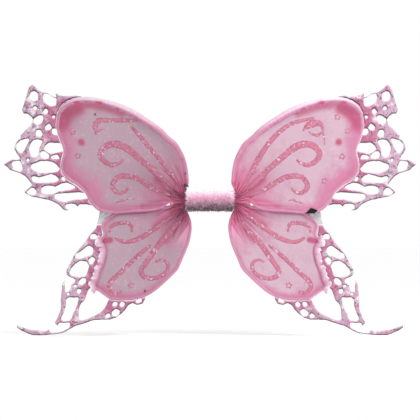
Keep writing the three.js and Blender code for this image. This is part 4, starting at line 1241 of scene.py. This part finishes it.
DASHES = {
    ("right", "upper"): [([(157, -6), (165, -3), (172, -6), (187, -11)], [1.5, 5, 4, 1.5]),
                         ([(197, 133), (206, 127), (216, 126), (223, 131)], [1.5, 5, 6, 3])],
    ("left", "upper"): [([(151, -2), (160, -1), (168, -3)], [2, 4, 2]),
                        ([(168, -6), (178, -5), (188, -10)], [1.5, 4.5, 2]),
                        ([(210, 136), (218, 137), (224, 133)], [1, 3, 4])],
    ("right", "lower"): [([(188, -172), (199, -160), (203, -176), (198, -190)], [1, 3, 3, 1])],
    ("left", "lower"): []}
STAR_OUTER, STAR_INNER, STAR_TURN, STAR_LINE = 6.6, 3.6, 0.2, 2.2
DOME, DOME_EDGE, SUNK = 0.75, 0.12, 0.2
ACROSS_BAND = np.array([-1, -0.93, -0.75, -0.4, 0, 0.4, 0.75, 0.93, 1])


def glitter_band(lobe, side, line, widths):
    """Points and faces of a domed band on the front skin, and how near each point is to its edge."""
    path, _, run = smooth_line(line, 1.5)
    half = np.interp(run / run[-1], np.linspace(0, 1, len(widths)), widths) / 2
    wobble = lumps(np.stack([path[:, 0], path[:, 1], np.zeros(len(path))], 1), 5, 4)
    half = half * (1 + 0.16 * wobble)
    along = tangents(path)
    across = np.stack([along[:, 1], -along[:, 0]], 1)
    rows, columns = len(path), len(ACROSS_BAND)
    top = path[:, None] + across[:, None] * (half[:, None] * ACROSS_BAND)[..., None]
    x, z = top[..., 0].ravel(), top[..., 1].ravel()
    height, _ = rise(lobe, x, z)
    skin = -PANEL_HALF - height
    dome = DOME_EDGE + DOME * (1 - np.abs(ACROSS_BAND) ** 2.6)
    dome = np.tile(dome, rows) * np.repeat(np.minimum(1, half / 2.5), columns)
    front = lobe.row_frame(side, x, skin - dome, z)
    rear = lobe.row_frame(side, x, skin + SUNK, z)
    return np.vstack([front, rear]), sheet_faces(rows, columns), np.tile(np.abs(ACROSS_BAND), 2 * rows)


def joined(parts):
    """The points, faces and marks of several shapes as one."""
    points, faces, marks = [], [], []
    for p, f, m in parts:
        first = sum(len(q) for q in points)
        faces += [[first + i for i in face] for face in f]
        points.append(p)
        marks.append(m)
    return np.vstack(points), faces, np.concatenate(marks)


def mark_band(level, band, rim):
    """Write on a band how near its edge each point is, and the painted shade round the root."""
    at = points_of(band.data) / MM
    note(band, rim=rim, dusk=painted_shade_at(level, np.abs(at[:, 0]), at[:, 2]))


glitter = {}
for side, shade in PAINTED_SIDE_SHADE.items():
    glitter[side], base = finish(f"{side}_rose_glitter", Coat_Weight=0.25, Coat_Roughness=0.35)
    flakes = base.node("TexVoronoi", {}, {"Vector": base.place(), "Scale": 330}, 1)
    spark = base.node("SeparateColor", {}, {0: flakes}, 0)
    hue = base.node("SeparateColor", {}, {0: flakes}, 1)
    patch, rim_mark = base.cloud(60, 3), base.mark("rim")
    # The left wing's copy is darker: painted shade.
    lit = LIT / shade
    colour = (patch.step(0.38, 0.64) * 0.7).between(dye(220, 132, 158, lit), dye(206, 104, 138, lit))
    colour = colour.over(dye(190, 78, 110, lit), rim_mark.step(0.6, 1.0) * 0.8)
    colour = colour.over(dye(230, 176, 212, lit), (spark + (patch - 0.5) * 1.2).step(0.74, 0.92) * 0.75)
    # Painted glints: the brightest flakes are laid near white.
    colour = colour.over(dye(252, 232, 246, lit), (spark + (patch - 0.5) * 0.3).step(0.95, 1.0) * 0.8)
    colour = colour.over(dye(182, 72, 108, lit), hue.step(0.84, 0.92) * 0.5)
    # Painted shade round the root, as on the skins.
    colour = colour.over(dye(142, 52, 84, lit), base.mark("dusk") * (SHADE_STRENGTH[side] * 0.85))
    apply_to(base, Base_Color=colour, Metallic=spark.step(0.8, 0.95) * 0.2, Roughness=0.58 - spark * 0.25,
             Normal=relief(spark, 0.3 * MM, 0.7))

for (side, level), shapes in SCROLLS.items():
    lobe, body = LOBES[level], f"{side}_{BODY[level]}"
    for name, shape in shapes.items():
        line, widths = shape or SCROLLS["right", level][name]
        points, faces, marks = glitter_band(lobe, side, line, widths)
        band = new_mesh(f"{side}_{level}_{name}_glitter", points, faces)
        mark_band(level, band, marks)
        finished(band, glitter[side], body, "glitter", f"{side}_{level}_{name}")
    parts = []
    for sx, sz in STARS[side, level]:
        points_out = [(k * math.pi / 5 + STAR_TURN, STAR_INNER if k % 2 else STAR_OUTER) for k in range(11)]
        corners = [(sx + r * math.sin(turn), sz + r * math.cos(turn)) for turn, r in points_out]
        parts.append(glitter_band(lobe, side, corners, [STAR_LINE, STAR_LINE]))
    parts += [glitter_band(lobe, side, line, widths) for line, widths in DASHES[side, level]]
    points, faces, marks = joined(parts)
    trims = new_mesh(f"{side}_{level}_stars", points, faces)
    mark_band(level, trims, marks)
    finished(trims, glitter[side], body, "glitter")

# ---- Ruffles ----------------------------------------------------------------------------------
# A gathered frill of white-pink nylon along the outer edge of each lower lobe, sewn over the hem
# and lying forward on the lace.

RUFFLE_FIRST, RUFFLE_LAST = 10.6, 21.6  # its ends' places in the list of edge corners
RUFFLE_WAVE, RUFFLE_CUT, RUFFLE_HALF = 19.0, 0.017, 0.3
RUFFLE_SEAM, RUFFLE_WIDE, RUFFLE_FORWARD, RUFFLE_TAPER = -4.5, 12.5, -4.6, 14
CRUMPLES, EDGE_LUMPS = [(3.6, 5, 1.5), (7.5, 9, 1.6)], [(8, 6, 6.5), (4, 3, 1.6)]

frill_finish, base = finish("frilled_nylon", Roughness=0.5, Sheen_Weight=0.5)
edge_mark, puffs = base.mark("free"), base.cloud(110, 4)
colour = (edge_mark + (puffs - 0.5) * 0.9).step(0.0, 0.5).between(dye(218, 140, 180), dye(238, 196, 220))
colour = colour.over(dye(255, 248, 253), (edge_mark + (puffs - 0.5) * 1.8).step(0.6, 0.95))
# Deeper pink in the frill's folds: painted shade.
colour = colour.over(dye(216, 120, 166), base.mark("fold").step(0.5, 1.1) * 0.6)
apply_to(base, Base_Color=colour, Normal=relief(base.cloud(500, 4), 0.4 * MM, 0.6))

lobe = LOBES["lower"]
picked = (lobe.order >= RUFFLE_FIRST) & (lobe.order <= RUFFLE_LAST)
fine_run = np.arange(lobe.run[picked][0], lobe.run[picked][-1], 0.9)
path, across = read_at(fine_run, lobe.run, lobe.line), -read_at(fine_run, lobe.run, lobe.inward)
v = np.linspace(0, 1, 15)
grid = (len(fine_run), len(v))
place = np.stack([np.repeat(fine_run, len(v)), np.tile(v * 4, len(fine_run)), np.zeros(grid).ravel()], 1)
crumple = layered_lumps(place, CRUMPLES).reshape(-1, len(v))
swing = np.sin(2 * math.pi * fine_run / RUFFLE_WAVE + 5.0 * lumps(place[::len(v)], 19, 2))[:, None]
fold = (0.55 * swing + crumple).clip(-1.3, 1.3)
edge_wander = layered_lumps(place[::len(v)], EDGE_LUMPS)[:, None]
out = RUFFLE_SEAM + (RUFFLE_WIDE + edge_wander) * v[None]
x = path[:, :1] + across[:, :1] * out
z = path[:, 1:] + across[:, 1:] * out
taper = np.minimum(fine_run - fine_run[0], fine_run[-1] - fine_run) / RUFFLE_TAPER
taper = np.clip(taper, 0.15, 1)[:, None]
y = RUFFLE_FORWARD - 0.7 * np.sin(v * math.pi)[None] - 1.5 * fold * v[None] ** 0.6 * taper
for side in SIDES:
    frill = thin_sheet(f"{side}_lower_ruffle", lobe, side, x.ravel(), y.ravel(), z.ravel(),
                       RUFFLE_HALF, grid)
    note(frill, free=np.tile(v, 2 * len(fine_run)), fold=np.tile((0.5 - 0.5 * fold).ravel(), 2))
    finished(frill, frill_finish, f"{side}_lower_lobe", "nylon")

# ---- Jet stones -------------------------------------------------------------------------------
# Black glass stones glued on the left lobes: a cut oval beside the collar, which hides the knot of
# its gathering thread, and a few seed beads.

# Each stone: [x, z, half its width, half its height].
STONES = {"upper": [(47.4, 24.6, 5.4, 3.5), (49, 49, 1.4, 1.4), (229, 167, 2.0, 1.5)],
          "lower": [(130, -186, 1.6, 2.6)]}
STONE_HALF_DEPTH, STONE_SLOPE, STONE_PROUD = 2.2, 0.4, 0.8

jet, base = finish("jet_glass", Roughness=0.1, Coat_Weight=0.8)
apply_to(base, Base_Color=base.cloud(500).step(0.5, 0.75).between(dye(8, 6, 8), dye(52, 44, 52)))
for level, lobe in LOBES.items():
    parts = []
    for x, z, half_x, half_z in STONES[level]:
        height, _ = rise(lobe, np.array([x]), np.array([z]))
        ball = BALL * (half_x, STONE_HALF_DEPTH, half_z)
        y = -PANEL_HALF - height[0] - STONE_PROUD * half_x + ball[:, 1]
        points = lobe.row_frame("left", x + ball[:, 0], y, z + ball[:, 2] + STONE_SLOPE * ball[:, 0])
        parts.append((points, ball_faces(), []))
    points, faces, _ = joined(parts)
    stones = new_mesh(f"left_{level}_stones", points, faces, False)
    finished(stones, jet, f"left_{BODY[level]}", "lace")

# ---- Notch patch ------------------------------------------------------------------------------
# A thin sheet of black, with four corners, laid over the right upper lobe's lower hem at the mouth
# of the notch, where the notch is dark. It follows the hem and the skin beside it.

PATCH = [(190, -31.4), (202.2, -19.6), (215.5, -24.6), (210, -30.6)]
PATCH_ROWS, PATCH_HALF, PATCH_CLEAR = 9, 0.3, 0.5

black_sheet_finish, base = finish("black_sheet", Roughness=0.95)
fluff = base.cloud(1400, 4)
apply_to(base, Base_Color=fluff.between(dye(4, 3, 4), dye(22, 17, 21)), Normal=relief(fluff, 0.3 * MM))

even = np.linspace(0, 1, PATCH_ROWS)
u, v = [grid.ravel()[:, None] for grid in np.meshgrid(even, even)]
corners = np.array(PATCH)
flat = (corners[0] * (1 - u) + corners[1] * u) * (1 - v) + (corners[3] * (1 - u) + corners[2] * u) * v
x, z = flat.T
height, _ = rise(LOBES["upper"], x, z)
y = -np.maximum(HEM_FLAT, PANEL_HALF + height) - PATCH_CLEAR
patch = thin_sheet("right_upper_patch", LOBES["upper"], "right", x, y, z, PATCH_HALF,
                   (PATCH_ROWS, PATCH_ROWS))
finished(patch, black_sheet_finish, "right_wing", "satin")

# ---- Studio -----------------------------------------------------------------------------------
# A plain white floor, even white light from all round, and one large soft lamp up on the right.
# The camera looks straight at the decorated side.

FLOOR_DROP, FLOOR_SIZE = 0.003, 14
low, high = cad_box
floor = new_mesh("studio_floor", [(x * FLOOR_SIZE, y * FLOOR_SIZE, low.z - FLOOR_DROP)
                                  for x, y in ((-1, -1), (1, -1), (1, 1), (-1, 1))], [[0, 1, 2, 3]], False)
card, base = finish("studio_white", Roughness=0.9)
apply_to(base, Base_Color=base.cloud(3).between((0.995, 0.995, 0.995, 1), (0.98, 0.98, 0.98, 1)))
floor.data.materials.append(card)
floor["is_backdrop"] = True

world = bpy.data.worlds.new("studio")
bpy.context.scene.world = world
world.use_nodes = True
sky = world.node_tree.nodes["Background"].inputs
sky["Color"].default_value, sky["Strength"].default_value = (1, 1, 1, 1), 1.0


def lamp(name, place, aim, size, power):
    """A round soft lamp, aimed at a point."""
    light = bpy.data.lights.new(name, "AREA")
    light.shape, light.size, light.energy = "DISK", size, power
    made = bpy.data.objects.new(name, light)
    made.location = place
    made.rotation_euler = (Vector(aim) - Vector(place)).to_track_quat("-Z", "Y").to_euler()
    bpy.context.scene.collection.objects.link(made)


lamp("key", place=(0.75, -0.75, 0.95), aim=(0.12, -0.03, 0.0), size=0.5, power=11)

SENSOR, FRAME_WIDTH, CAMERA_DISTANCE, SIGHT_Y, SIGHT_Z = 36, 0.84, 6.0, -0.040, -0.024
eye = bpy.data.cameras.new("camera")
eye.sensor_width = SENSOR
eye.lens = SENSOR * CAMERA_DISTANCE / FRAME_WIDTH
camera = bpy.data.objects.new("camera", eye)
camera.location = (0, SIGHT_Y - CAMERA_DISTANCE, SIGHT_Z)
camera.rotation_euler = (math.pi / 2, 0, 0)
bpy.context.scene.collection.objects.link(camera)
bpy.context.scene.camera = camera
bpy.context.scene.view_settings.view_transform = "Standard"

bpy.context.view_layer.update()
low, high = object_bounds()
